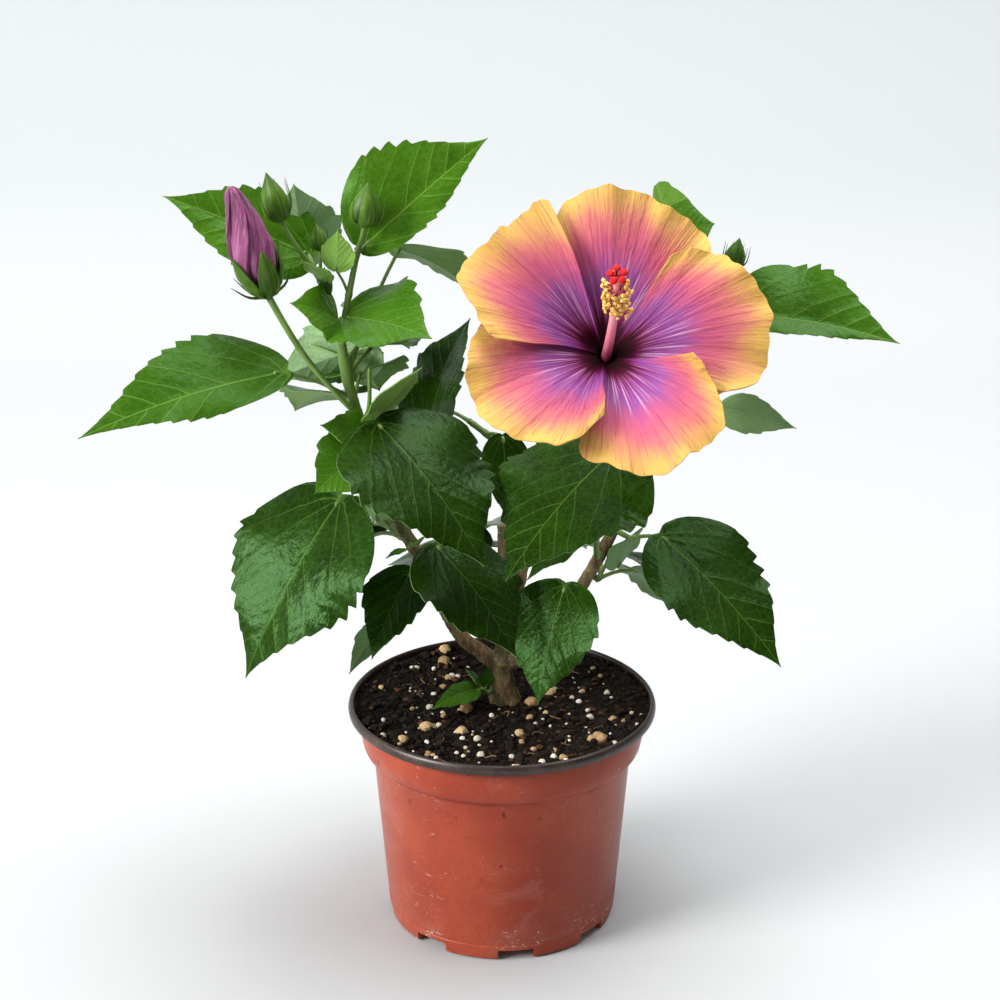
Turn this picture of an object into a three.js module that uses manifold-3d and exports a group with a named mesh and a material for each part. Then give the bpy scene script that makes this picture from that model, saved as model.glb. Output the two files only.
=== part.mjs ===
// A hibiscus shrub in a nursery pot: one open bloom, a purple bud about to open, green buds and
// toothed leaves on three living boughs and one pruned one, which share a short forked trunk.
// Millimetres, +Z up, the front towards -Y. The origin is the middle of the pot's flat underside.
import * as THREE from "three";
import { mergeVertices } from "three/addons/utils/BufferGeometryUtils.js";
import Module from "manifold-3d";

const wasm = await Module();
wasm.setup();

// ---- Driving dimensions, in millimetres and degrees ----
const GAP = 0.3; // clearance between neighbouring solids

const POT_HEIGHT = 98;
const LIP_RADIUS = 65;
const LIP_WIDTH = 4;
const LIP_DEPTH = 4.6;
const LIP_SKIRT = 3.6; // how far the lip runs in, down the inside of the wall
const COLLAR_RADIUS = 60;
const STEP_RADIUS = 54.8;
const STEP_HEIGHT = 76;
const FOOT_RADIUS = 49;
const FOOT_EDGE = 1.8;
const WALL = 1.5;
const FLOOR = 3;
const NOTCHES = 8;
const NOTCH_WIDTH = 15;
const NOTCH_HEIGHT = 4.6;
const FIRST_NOTCH = -83;
const ROUND = 32; // sides of everything turned on the pot's axis

const SOIL_TOP = 92;
const SOIL_SWELL = 1.6;
const COLLAR_OF_SOIL = 11; // radius of the level patch that the trunk stands on

const TRUNK_X = 1;
const TRUNK_Y = 9;
const TRUNK_FLARE = 7.4;
const TRUNK_RADIUS = 4.7;
const FORK_HEIGHT = 17; // above the soil

const STALK_RADIUS = 0.95;
const LEAF_SHAPE = 0.7; // width over length of an ordinary blade
const LEAF_BEND = 26; // degrees an ordinary blade curls over its length
const LEAF_FOLD = 0.24; // how far the halves rise from the midrib, over their width
const TEETH = 3;
const CLEAR = 7; // least distance between the sample points of two neighbours
const TURN = 137.5; // degrees from one anther to the next round the column

const BRACTS = 4; // round each bud

const BLOOM_RADIUS = 61;
const BLOOM_DEPTH = 26;
const ANTHERS = 14;
const PETAL_TURNS = [8, 78, 151, 237, 308]; // clockwise from the top, seen from the front

const LEAF_GREEN = new THREE.MeshStandardMaterial({ color: 0x1f5a16, roughness: 0.45 });
const YOUNG_GREEN = new THREE.MeshStandardMaterial({ color: 0x3f8a1c, roughness: 0.45 });
const BARK = new THREE.MeshStandardMaterial({ color: 0x6b5a44, roughness: 0.85 });
const PETAL = new THREE.MeshStandardMaterial({ color: 0xe8743f, roughness: 0.6 });
const PURPLE = new THREE.MeshStandardMaterial({ color: 0x9a4c93, roughness: 0.6 });
const TERRACOTTA = new THREE.MeshStandardMaterial({ color: 0xb5573d, roughness: 0.5 });
const DARK_PLASTIC = new THREE.MeshStandardMaterial({ color: 0x3c3130, roughness: 0.5 });
const PEAT = new THREE.MeshStandardMaterial({ color: 0x1c1613, roughness: 0.95 });

// ---- Small helpers ----
const rad = THREE.MathUtils.degToRad;
const vec = (x, y, z) => new THREE.Vector3(x, y, z);

// The unit vector on a compass heading (0 right, 90 away, 180 left, 270 towards the viewer).
function direction(heading, rise) {
  const flat = Math.cos(rad(rise));
  return vec(flat * Math.cos(rad(heading)), flat * Math.sin(rad(heading)), Math.sin(rad(rise)));
}

// A frame whose X runs along a heading and rise, with Z as its upper side before it rolls about X.
function frame(at, heading, rise, roll = 0) {
  const ahead = direction(heading, rise);
  const level = direction(heading + 90, 0);
  const upper = ahead.clone().cross(level);
  const left = level.multiplyScalar(Math.cos(rad(roll))).addScaledVector(upper, Math.sin(rad(roll)));
  return new THREE.Matrix4().makeBasis(ahead, left, ahead.clone().cross(left)).setPosition(at);
}

// Evenly spread numbers in 0..1 that are the same on every run.
function dice(seed) {
  let state = seed;
  return () => {
    state = (state * 1664525 + 1013904223) % 4294967296;
    return state / 4294967296;
  };
}

// ---- Closed meshes ----
// A skin over rings of points that run counter-clockwise round the way ahead, closed by a point
// at each end.
function loft(foot, rings, tip) {
  const sides = rings[0].length;
  const points = [foot, ...rings.flat(), tip];
  const faces = [];
  const ring = (i, j) => 1 + i * sides + (j % sides);
  for (let j = 0; j < sides; j++) {
    faces.push(0, ring(0, j + 1), ring(0, j));
    faces.push(points.length - 1, ring(rings.length - 1, j), ring(rings.length - 1, j + 1));
    for (let i = 0; i + 1 < rings.length; i++) {
      faces.push(ring(i, j), ring(i, j + 1), ring(i + 1, j + 1));
      faces.push(ring(i, j), ring(i + 1, j + 1), ring(i + 1, j));
    }
  }
  const geometry = new THREE.BufferGeometry().setFromPoints(points);
  geometry.setIndex(faces);
  return geometry;
}

// A round limb along a curve. It tapers, and its ends are cut square.
function tube(curve, radiusAt, steps, sides) {
  const frames = curve.computeFrenetFrames(steps, false);
  const rings = [];
  for (let i = 0; i <= steps; i++) {
    const middle = curve.getPointAt(i / steps);
    const radius = radiusAt(i / steps);
    const ring = [];
    for (let j = 0; j < sides; j++) {
      const turn = (2 * Math.PI * j) / sides;
      const spoke = frames.normals[i].clone().multiplyScalar(Math.cos(turn));
      spoke.addScaledVector(frames.binormals[i], Math.sin(turn));
      ring.push(middle.clone().addScaledVector(spoke, radius));
    }
    rings.push(ring);
  }
  return loft(curve.getPointAt(0), rings, curve.getPointAt(1));
}

const curveThrough = (points) => new THREE.CatmullRomCurve3(points, false, "catmullrom", 0.5);

// A solid for joins and cuts, and a mesh made back from one.
function solid(geometry) {
  const bare = geometry.clone();
  bare.deleteAttribute("normal");
  bare.deleteAttribute("uv");
  const merged = mergeVertices(bare, 1e-4);
  return new wasm.Manifold(
    new wasm.Mesh({
      numProp: 3,
      vertProperties: new Float32Array(merged.attributes.position.array),
      triVerts: new Uint32Array(merged.index.array),
    }),
  );
}

function meshOf(name, body, material) {
  const { numProp, vertProperties, triVerts } = body.getMesh();
  const points = [];
  for (let i = 0; i < vertProperties.length; i += numProp) {
    points.push(vec(vertProperties[i], vertProperties[i + 1], vertProperties[i + 2]));
  }
  const geometry = new THREE.BufferGeometry().setFromPoints(points);
  geometry.setIndex([...triVerts]);
  geometry.computeVertexNormals();
  const mesh = new THREE.Mesh(geometry, material);
  mesh.name = name;
  return mesh;
}

const joined = (geometries) => geometries.map(solid).reduce((whole, piece) => whole.add(piece));

// A profile of [radius, height] pairs turned about the plant's upright axis.
function turned(profile, sides = ROUND) {
  const outline = profile.map(([radius, height]) => new THREE.Vector2(radius, height));
  return new THREE.LatheGeometry(outline, sides).rotateX(Math.PI / 2);
}

// ---- Pot, lip and soil ----
function pot() {
  const top = POT_HEIGHT - LIP_DEPTH - GAP;
  const shell = solid(
    turned([
      [0, 0],
      [12, 0],
      [14, FLOOR - 1.2],
      [31, FLOOR - 1.2],
      [33, 0],
      [FOOT_RADIUS - FOOT_EDGE, 0],
      [FOOT_RADIUS - 0.3, FOOT_EDGE * 1.5],
      [FOOT_RADIUS + 0.2, 8],
      [STEP_RADIUS, STEP_HEIGHT],
      [STEP_RADIUS + 1.8, STEP_HEIGHT + 0.6],
      [COLLAR_RADIUS - 1.2, STEP_HEIGHT + 3.4],
      [COLLAR_RADIUS - 0.2, STEP_HEIGHT + 8],
      [COLLAR_RADIUS + 0.6, top],
      [COLLAR_RADIUS + 0.6 - WALL, top],
      [COLLAR_RADIUS - 0.2 - WALL, STEP_HEIGHT + 8],
      [STEP_RADIUS - WALL, STEP_HEIGHT - 1],
      [FOOT_RADIUS - WALL, NOTCH_HEIGHT + WALL + 1.5],
      [FOOT_RADIUS - 3.5, NOTCH_HEIGHT + WALL],
      [35, NOTCH_HEIGHT + WALL],
      [31, FLOOR],
      [0, FLOOR],
    ]),
  );
  const cuts = [];
  for (let i = 0; i < NOTCHES; i++) {
    const heading = FIRST_NOTCH + (360 / NOTCHES) * i;
    const notch = new THREE.BoxGeometry(16, NOTCH_WIDTH, 2 * NOTCH_HEIGHT);
    notch.applyMatrix4(frame(vec(0, 0, 0), heading, 0)).translate(
      44 * Math.cos(rad(heading)),
      44 * Math.sin(rad(heading)),
      0,
    );
    cuts.push(notch);
    const drain = new THREE.CylinderGeometry(3, 3, 12, 6).rotateX(Math.PI / 2);
    const turn = heading + 180 / NOTCHES;
    cuts.push(drain.translate(24 * Math.cos(rad(turn)), 24 * Math.sin(rad(turn)), 0));
  }
  return cuts.reduce((whole, cut) => whole.subtract(solid(cut)), shell);
}

function lip() {
  const low = POT_HEIGHT - LIP_DEPTH;
  const inner = LIP_RADIUS - LIP_WIDTH;
  return solid(
    turned([
      [inner - LIP_SKIRT, low - 1.2],
      [COLLAR_RADIUS + 0.3 - WALL, low - 1.2],
      [COLLAR_RADIUS + 0.3 - WALL, low],
      [LIP_RADIUS - 1.4, low],
      [LIP_RADIUS - 0.2, low + 1],
      [LIP_RADIUS, low + 2.4],
      [LIP_RADIUS - 0.6, POT_HEIGHT - 0.8],
      [LIP_RADIUS - 1.8, POT_HEIGHT],
      [inner + 0.8, POT_HEIGHT],
      [inner, POT_HEIGHT - 0.8],
      [inner - LIP_SKIRT, low - 1.2],
    ]),
  );
}

// The root ball fills the pot. Its top is uneven, with a level patch under the trunk.
function soil() {
  const inside = COLLAR_RADIUS - 0.2 - WALL - GAP;
  const roll = dice(5);
  const body = turned(
    [
      [0, FLOOR + GAP],
      [30.5, FLOOR + GAP],
      [34.8, NOTCH_HEIGHT + WALL + GAP],
      [FOOT_RADIUS - WALL - 2.8, NOTCH_HEIGHT + WALL + GAP],
      [FOOT_RADIUS - WALL - GAP, NOTCH_HEIGHT + WALL + 2.4],
      [STEP_RADIUS - WALL - GAP, STEP_HEIGHT - 0.6],
      [inside, STEP_HEIGHT + 8.2],
      [inside, SOIL_TOP - 1.8],
      [inside - 1.4, SOIL_TOP],
      [44, SOIL_TOP],
      [28, SOIL_TOP],
      [0, SOIL_TOP],
    ],
    24,
  );
  const merged = mergeVertices(bareOf(body), 1e-4);
  const spots = merged.attributes.position;
  for (let i = 0; i < spots.count; i++) {
    if (spots.getZ(i) > SOIL_TOP - 0.5) {
      spots.setZ(i, SOIL_TOP + SOIL_SWELL * (roll() - 0.5));
    }
  }
  const patch = new THREE.CylinderGeometry(COLLAR_OF_SOIL, COLLAR_OF_SOIL + 5, 8, 16);
  patch.rotateX(Math.PI / 2).translate(TRUNK_X, TRUNK_Y, SOIL_TOP + SOIL_SWELL - 4);
  return solid(merged).add(solid(patch));
}

function bareOf(geometry) {
  geometry.deleteAttribute("normal");
  geometry.deleteAttribute("uv");
  return geometry;
}

// ---- Trunk and boughs ----
const GROUND = SOIL_TOP + SOIL_SWELL + GAP; // where the trunk is cut flat

// A limb tapers from one radius to another along a curve through a few points.
class Limb {
  constructor(points, thick, thin, flare = 0) {
    this.curve = curveThrough(points.map((p) => vec(...p)));
    this.thick = thick;
    this.thin = thin;
    this.flare = flare;
  }
  radius(t) {
    return this.thick + (this.thin - this.thick) * t + this.flare * (1 - t) ** 3;
  }
  at(t) {
    return this.curve.getPoint(t);
  }
  // Where a twig begins that leaves the bark square, towards a heading and rise: GAP clear of
  // the bark, and the next point straight out from there.
  beside(t, heading, rise) {
    const out = direction(heading, rise);
    const along = this.curve.getTangent(t);
    out.addScaledVector(along, -out.dot(along)).normalize();
    const off = this.radius(t) + GAP;
    return [off, off + 3].map((far) => this.at(t).addScaledVector(out, far).toArray());
  }
  // Where a stem begins that carries this limb on: GAP beyond its tip, then straight ahead.
  beyond() {
    const along = this.curve.getTangent(1);
    return [GAP, 4].map((far) => this.at(1).addScaledVector(along, far).toArray());
  }
  geometry(steps, sides) {
    return tube(this.curve, (t) => this.radius(t), steps, sides);
  }
}

const boughLeft = new Limb(
  [[-8.6, 8.7, 115.2], [-19, 7, 126], [-34.5, 4, 161], [-48, 2, 186], [-55.5, 0.4, 213]],
  3.3,
  2.6,
);
const boughRight = new Limb(
  [[10.2, 8.8, 115], [31, 8, 142], [45, 10, 167], [50, 12, 180], [59, 14, 198]],
  2.9,
  2.2,
);
const boughBack = new Limb([[3.4, 19.4, 121], [8, 27, 142], [13, 36, 168], [16, 42, 194]], 3, 2.2);
const boughPruned = new Limb([[0.6, 10.6, 120.5], [0.8, 12, 146], [0.4, 12, 172]], 2.9, 2.5);

const trunkStem = new Limb(
  [
    [TRUNK_X, TRUNK_Y, GROUND - 1],
    [TRUNK_X - 0.8, TRUNK_Y, GROUND + 9],
    [TRUNK_X - 1, TRUNK_Y, GROUND + FORK_HEIGHT],
  ],
  TRUNK_RADIUS,
  TRUNK_RADIUS,
  TRUNK_FLARE - TRUNK_RADIUS,
);

// The stem runs up to the fork, where an arm bends out to the foot of each bough.
function trunk() {
  const pieces = [trunkStem.geometry(6, 12)];
  for (const limb of [boughLeft, boughRight, boughBack, boughPruned]) {
    const along = limb.curve.getTangent(0);
    const end = limb.at(0).addScaledVector(along, -GAP);
    const bend = end.clone().addScaledVector(along, -3);
    const arm = curveThrough([trunkStem.at(0.85), bend, end]);
    const thick = TRUNK_RADIUS - 0.6;
    pieces.push(tube(arm, (t) => thick + (limb.thick - thick) * t, 3, 8));
  }
  const below = new THREE.BoxGeometry(60, 60, 20).translate(TRUNK_X, TRUNK_Y, GROUND - 10);
  return joined(pieces).subtract(solid(below));
}

// ---- Leaves ----
const halfWidth = (t) => Math.sin(Math.PI * t ** 0.6) ** (0.75 + 0.6 * t);

// The round lobes at the foot of a blade reach a little behind the end of its stalk.
const lobe = (t, length) => -0.06 * length * Math.max(0, 1 - t / 0.3) ** 2;

// Where a blade's middle line is, and how steep, as it curls over its length.
function midline(t, length, bend) {
  const turn = rad(bend);
  const slope = turn * (0.5 - t);
  return {
    x: (length / turn) * (Math.sin(turn / 2) - Math.sin(slope)),
    z: (length / turn) * (Math.cos(slope) - Math.cos(turn / 2)),
    slope,
  };
}

// Half widths from foot to tip: a smooth round foot, then teeth that point towards the tip.
function outline(length) {
  const stations = [0.05, 0.2].map((t) => [t, halfWidth(t)]);
  const teeth = length > 30 ? TEETH : 2;
  for (let i = 0; i < teeth; i++) {
    const t = 0.36 + (0.52 * i) / (teeth - 1);
    stations.push([t, halfWidth(t) * 1.07], [t + 0.03, halfWidth(t + 0.03) * 0.9]);
  }
  return stations;
}

function blade({ length, width, bend, fold }) {
  const thick = Math.max(0.7, 0.015 * length);
  const rings = outline(length).map(([t, share]) => {
    const { x, z, slope } = midline(t, length, bend);
    const half = (share * width) / 2;
    const place = (side, lift) => {
      const back = side ? lobe(t, length) : 0;
      return vec(x + back - lift * Math.sin(slope), side, z + lift * Math.cos(slope));
    };
    return [
      place(half, fold * half),
      place(0, thick * 0.5),
      place(-half, fold * half),
      place(0, -thick * 0.5),
    ];
  });
  return loft(vec(0, 0, 0), rings, vec(midline(1, length, bend).x, 0, 0));
}

// Points spread over a blade, to keep neighbours apart.
function samplesOf({ length, width, bend, fold }, place) {
  const samples = [];
  for (let i = 0; i <= 6; i++) {
    const { x, z } = midline(i / 6, length, bend);
    const half = (halfWidth(i / 6) * width) / 2;
    for (const side of [-1, -0.5, 0, 0.5, 1]) {
      samples.push(vec(x, side * half, z + fold * Math.abs(side) * half).applyMatrix4(place));
    }
  }
  return samples;
}

const taken = []; // sample points of every leaf and limb so far

// ---- Shoots: one stem with its twigs, leaves and buds, joined into one solid ----
class Shoot {
  constructor(name, material = LEAF_GREEN) {
    this.name = name;
    this.material = material;
    this.pieces = [];
    this.samples = [];
  }
  twig(points, thick, thin) {
    return this.stem(new Limb(points, thick, thin));
  }
  stem(limb) {
    this.pieces.push(limb.geometry(4, 5));
    this.samples.push(...limb.curve.getPoints(8));
    return limb;
  }
  // The stalk and then the aim of the blade are each a heading, a rise and a length.
  leaf(limb, at, stalk, aim, { wide = LEAF_SHAPE, roll = 0, bend = LEAF_BEND, fold = LEAF_FOLD } = {}) {
    const foot = limb.at(at);
    const root = foot.clone().addScaledVector(direction(stalk[0], stalk[1]), stalk[2]);
    const place = frame(root, aim[0], aim[1], roll);
    const shape = { length: aim[2], width: aim[2] * wide, bend, fold };
    this.pieces.push(blade(shape).applyMatrix4(place));
    const sunk = vec(Math.min(3, aim[2] * 0.1), 0, aim[2] * 0.01).applyMatrix4(place);
    const middle = foot.clone().lerp(root, 0.5).add(vec(0, 0, stalk[2] * 0.06));
    const line = curveThrough([foot, middle, root, sunk]);
    const size = Math.min(STALK_RADIUS, 0.35 + aim[2] * 0.016);
    this.pieces.push(tube(line, (t) => size * (1.15 - 0.5 * t), 3, 3));
    this.samples.push(...samplesOf(shape, place));
    return this;
  }
  // Leaves on alternate sides of a twig. A leaf that would leave the room of this mass, or come
  // too near a neighbour, is left out.
  spray(limb, { room, count, toward, spread = 60, from = 0.3, length, rise = 15, droop = -25, seed }) {
    const space = new THREE.Box3(vec(...room[0]), vec(...room[1]));
    const roll = dice(seed);
    for (let i = 0; i < count; i++) {
      const share = (i + 0.5) / count;
      const side = i % 2 ? 1 : -1;
      const heading = toward + side * spread * roll();
      const size = length * (1.05 - 0.3 * share);
      const lift = rise + 40 * (roll() - 0.5);
      const fall = droop + 30 * (roll() - 0.5);
      const lean = 30 * (roll() - 0.5);
      const before = [this.pieces.length, this.samples.length];
      const at = from + (1 - from) * share;
      this.leaf(limb, at, [heading, lift, size * 0.35], [heading, fall, size], { roll: lean });
      const fresh = this.samples.slice(before[1]);
      const own = this.samples.slice(0, before[1]);
      const clear = (spot) =>
        taken.every((other) => other.distanceTo(spot) > CLEAR) &&
        own.every((other) => other.distanceTo(spot) > CLEAR / 2);
      if (!fresh.every((spot) => space.containsPoint(spot) && clear(spot))) {
        this.pieces.length = before[0];
        this.samples.length = before[1];
      }
    }
    return this;
  }
  bud(limb, at, stalk, aim, width) {
    const foot = limb.at(at);
    const root = foot.clone().addScaledVector(direction(stalk[0], stalk[1]), stalk[2]);
    const middle = foot.clone().lerp(root, 0.5).add(vec(0, 0, -stalk[2] * 0.04));
    const place = frame(root, aim[0], aim[1]);
    const sunk = vec(2.5, 0, 0).applyMatrix4(place);
    this.pieces.push(tube(curveThrough([foot, middle, root, sunk]), () => 0.5 + width * 0.055, 3, 4));
    this.pieces.push(budBody(aim[2], width).applyMatrix4(place));
    for (let i = 0; i < BRACTS; i++) {
      const turn = new THREE.Matrix4().makeRotationX(rad((360 / BRACTS) * i + 20));
      this.pieces.push(bract(aim[2] * 0.62, width).applyMatrix4(turn).applyMatrix4(place));
    }
    this.samples.push(root, vec(aim[2], 0, 0).applyMatrix4(place));
    return this;
  }
  mesh() {
    taken.push(...this.samples);
    return meshOf(this.name, joined(this.pieces), this.material);
  }
}

// A closed bud along +X: round at its foot, pointed at its tip, with five faint ribs.
function budBody(length, width) {
  const shape = [[0.02, 0.3], [0.12, 0.78], [0.32, 1], [0.55, 0.88], [0.8, 0.42]];
  const rings = shape.map(([t, share]) => {
    const ring = [];
    for (let j = 0; j < 8; j++) {
      const turn = (2 * Math.PI * j) / 8;
      const radius = (share * width * (j % 2 ? 0.94 : 1.04)) / 2;
      ring.push(vec(t * length, radius * Math.cos(turn), radius * Math.sin(turn)));
    }
    return ring;
  });
  return loft(vec(0, 0, 0), rings, vec(length, 0, 0));
}

// A slim spindle of three or more sides from one point to another, widest at a share of its length.
function spindle(from, to, radius, share = 0.6, sides = 3) {
  const span = to.clone().sub(from);
  const across = span.clone().cross(Math.abs(span.x) > Math.abs(span.z) ? vec(0, 0, 1) : vec(1, 0, 0));
  across.setLength(radius);
  const ring = [];
  for (let j = 0; j < sides; j++) {
    const spoke = across.clone().applyAxisAngle(span.clone().normalize(), (2 * Math.PI * j) / sides);
    ring.push(from.clone().addScaledVector(span, share).add(spoke));
  }
  return loft(from, [ring], to);
}

// One of the narrow bracts that stand round a bud.
const bract = (length, width) => spindle(vec(0.5, 0, 0.4), vec(length, 0, width * 0.75), 0.7, 0.5);

// ---- The bloom ----
function bloomFrame() {
  return frame(vec(40, -32, 257), 274, 38);
}

// How far a petal stands out along the bloom's axis, at a distance from that axis.
function petalRise(radius, across, out, turn) {
  const bowl = BLOOM_DEPTH * (1 - (1 - radius / BLOOM_RADIUS) ** 2);
  const tilt = -0.09 * across * radius;
  const ruffle = 2.4 * out ** 3 * Math.sin(5.2 * across + turn);
  return bowl + tilt + ruffle;
}

// A point of a petal: across runs -1..1 and out runs 0..1, from the throat to the rim.
function petalPoint(turn, across, out) {
  const reach = BLOOM_RADIUS * (1 - 0.3 * Math.abs(across) ** 3 - 0.025 * Math.cos(9 * across + turn));
  const radius = 4 + (reach - 4) * out;
  const spread = 40 + 8 * Math.min(1, out * 1.6);
  const angle = rad(turn + across * spread);
  return vec(
    petalRise(radius, across, out, turn),
    radius * Math.sin(angle),
    radius * Math.cos(angle),
  );
}

function petal(turn) {
  const columns = 6;
  const rows = 5;
  const thick = 1.1;
  const points = [];
  const faces = [];
  for (const side of [0, 1]) {
    for (let i = 0; i <= rows; i++) {
      for (let j = 0; j <= columns; j++) {
        points.push(petalPoint(turn, (2 * j) / columns - 1, i / rows).add(vec(-thick * side, 0, 0)));
      }
    }
  }
  const index = (side, i, j) => side * (rows + 1) * (columns + 1) + i * (columns + 1) + j;
  const quad = (a, b, c, d) => faces.push(a, b, c, a, c, d);
  for (let i = 0; i < rows; i++) {
    for (let j = 0; j < columns; j++) {
      quad(index(0, i, j), index(0, i, j + 1), index(0, i + 1, j + 1), index(0, i + 1, j));
      quad(index(1, i, j), index(1, i + 1, j), index(1, i + 1, j + 1), index(1, i, j + 1));
    }
    quad(index(0, i, 0), index(0, i + 1, 0), index(1, i + 1, 0), index(1, i, 0));
    quad(index(0, i + 1, columns), index(0, i, columns), index(1, i, columns), index(1, i + 1, columns));
  }
  for (let j = 0; j < columns; j++) {
    quad(index(0, 0, j + 1), index(0, 0, j), index(1, 0, j), index(1, 0, j + 1));
    quad(index(0, rows, j), index(0, rows, j + 1), index(1, rows, j + 1), index(1, rows, j));
  }
  const geometry = new THREE.BufferGeometry().setFromPoints(points);
  geometry.setIndex(faces);
  return geometry;
}

// The bloom's stalk leaves the right bough near its tip and bends up to the back of the cup.
function pedicel() {
  const place = bloomFrame();
  const [root, out] = boughRight.beside(0.93, 225, 10).map((spot) => vec(...spot));
  const back = vec(-25, 0, 0).applyMatrix4(place);
  const middle = root.clone().lerp(back, 0.5).add(vec(1, 3, -3));
  return curveThrough([root, out, middle, back, vec(-21, 0, 0).applyMatrix4(place)]);
}

const COLUMN_LINE = curveThrough([vec(-10, 0, 0), vec(20, -0.4, 0), vec(45, -1, 2.5), vec(62, -2, 7)]);

function bloomSamples() {
  const place = bloomFrame();
  const samples = [];
  for (const turn of PETAL_TURNS) {
    for (const across of [-1, -0.5, 0, 0.5, 1]) {
      for (const out of [0.2, 0.4, 0.6, 0.8, 1]) {
        samples.push(petalPoint(turn, across, out).applyMatrix4(place));
      }
    }
  }
  return samples;
}

function bloom() {
  const place = bloomFrame();
  const pieces = PETAL_TURNS.map(petal);
  pieces.push(tube(COLUMN_LINE, (t) => 2.2 - 0.9 * t, 6, 6));
  const roll = dice(11);
  for (let i = 0; i < ANTHERS; i++) {
    const spot = COLUMN_LINE.getPoint(0.55 + (0.35 * i) / ANTHERS);
    const around = rad(TURN * i);
    const out = vec(0.4, Math.sin(around), Math.cos(around)).setLength(4.2 + 1.4 * roll());
    pieces.push(spindle(spot, spot.clone().add(out), 1.1, 0.78));
  }
  const end = COLUMN_LINE.getPoint(0.97);
  for (let i = 0; i < 5; i++) {
    const around = rad(72 * i);
    const out = vec(4.5, 4 * Math.sin(around), 4 * Math.cos(around));
    pieces.push(spindle(end, end.clone().add(out), 1.7, 0.72, 5));
  }
  pieces.push(loft(vec(-26, 0, 0), cup(CALYX), vec(5.5, 0, 0)));
  const whole = pieces.map((piece) => piece.applyMatrix4(place));
  whole.push(tube(pedicel(), (t) => 1.5 + 0.5 * t, 7, 6));
  return meshOf("bloom", joined(whole), PETAL);
}

// The green cup behind the petals, and the throat they spring from: [distance, radius] pairs.
const CALYX = [[-25.5, 2.2], [-22, 5], [-14, 6], [-6, 7.5], [0, 7], [4.5, 5]];

// Rings of ten points round +X, one for each [distance, radius] pair. Rims of alternate spokes
// may differ, and each ring may be twisted past the last.
function cup(profile, flute = 0, twist = 0) {
  return profile.map(([x, radius], i) => {
    const ring = [];
    for (let j = 0; j < 10; j++) {
      const turn = (2 * Math.PI * j) / 10 + twist * i;
      const spoke = radius * (j % 2 ? 1 - 2 * flute : 1 + flute);
      ring.push(vec(x, spoke * Math.cos(turn), spoke * Math.sin(turn)));
    }
    return ring;
  });
}

// ---- The masses of foliage, each on its own stem ----
const leftLeader = new Limb(
  [...boughLeft.beyond(), [-60.5, -1, 232], [-63.5, -1, 250], [-65, -1, 262]],
  2.5,
  1.9,
);
const rightLeader = new Limb(
  [...boughRight.beyond(), [66, 16, 225], [70, 16, 248], [74, 15, 270]],
  2.1,
  1.5,
);

function leftCrown() {
  const shoot = new Shoot("foliage_left_crown", YOUNG_GREEN);
  const leader = shoot.stem(leftLeader);
  const leftTwig = shoot.twig([[-64.5, -1, 259], [-69, 0, 271], [-74, 2, 284]], 1.5, 1.1);
  const rightTwig = shoot.twig([[-64, -1, 256], [-60.5, -2, 274], [-56.5, -2, 292]], 1.5, 1.1);
  shoot.twig([[-57.5, 0, 219], [-53.5, -3, 228], [-53, -2.5, 244]], 0.9, 0.8);
  return shoot
    .leaf(leader, 0.48, [204, 26, 33], [199, -13, 84], { wide: 0.6, roll: -35, fold: 0.14 })
    .leaf(leader, 0.6, [60, 25, 20], [169, -22, 45], { wide: 0.7, roll: 65 })
    .leaf(leader, 0.62, [46, 57, 55], [35, -34, 52], { wide: 0.62, roll: -15 })
    .leaf(leader, 0.98, [250, 40, 4], [230, 27, 28], { wide: 0.66 })
    .leaf(leader, 0.98, [320, 48, 5], [325, -2, 47], { wide: 0.85, roll: 25 })
    .leaf(rightTwig, 0.5, [229, 60, 13], [285, 74, 18], { wide: 0.62, bend: 10 })
    .leaf(leftTwig, 0.5, [245, 70, 9], [228, 43, 16], { wide: 0.9 })
    .leaf(leftTwig, 0.8, [116, 35, 14], [186, 24, 62], { wide: 0.6, roll: -55, bend: 12 })
    .leaf(leftTwig, 0.8, [108, 8, 20], [248, 73, 38], { wide: 0.6, bend: 14 })
    .leaf(rightTwig, 0.95, [53, 28, 6], [21, 37, 65], { wide: 0.7, roll: 55, bend: 14 })
    .bud(leftTwig, 0.9, [195, 58, 26], [180, 75, 20], 10.5)
    .bud(leftTwig, 0.8, [87, 70, 12], [132, 75, 11], 6.5)
    .bud(leader, 0.98, [193, 72, 13], [180, 85, 12], 3.6)
    .bud(rightTwig, 1, [340, 73, 10], [333, 83, 18], 12)
    .spray(leader, {
      room: [[-105, 4, 205], [-25, 80, 268]],
      count: 12, toward: 95, spread: 60, length: 52, rise: 15, droop: -20, seed: 21,
    })
    .mesh();
}

function leftFront() {
  const shoot = new Shoot("foliage_left_front");
  const stem = shoot.twig([...boughLeft.beside(0.93, 285, 15), [-53, -7, 216]], 1.3, 1.1);
  return shoot
    .leaf(stem, 0.93, [288, 40, 17], [321, -41, 72], { wide: 0.98, roll: 6, fold: 0.12 })
    .leaf(stem, 1, [330, 60, 8], [322, 50, 36], { wide: 0.6, bend: 12 })
    .leaf(stem, 0.85, [230, 45, 5], [218, 26, 24], { wide: 0.6 })
    .leaf(stem, 0.75, [235, 15, 6], [215, -30, 34], { wide: 0.85, roll: -25 })
    .mesh();
}

function leftInner() {
  const shoot = new Shoot("foliage_left_inner");
  const stem = shoot.twig([...boughLeft.beside(0.85, 50, 10), [-40, 14, 208]], 1.5, 1.1);
  return shoot
    .leaf(stem, 0.9, [24, 25, 14], [51, 57, 50], { wide: 0.72, roll: -20 })
    .spray(stem, {
      room: [[-95, 8, 160], [-6, 78, 228]],
      count: 14, toward: 95, spread: 75, length: 60, rise: 5, droop: -28, seed: 33,
    })
    .mesh();
}

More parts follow.
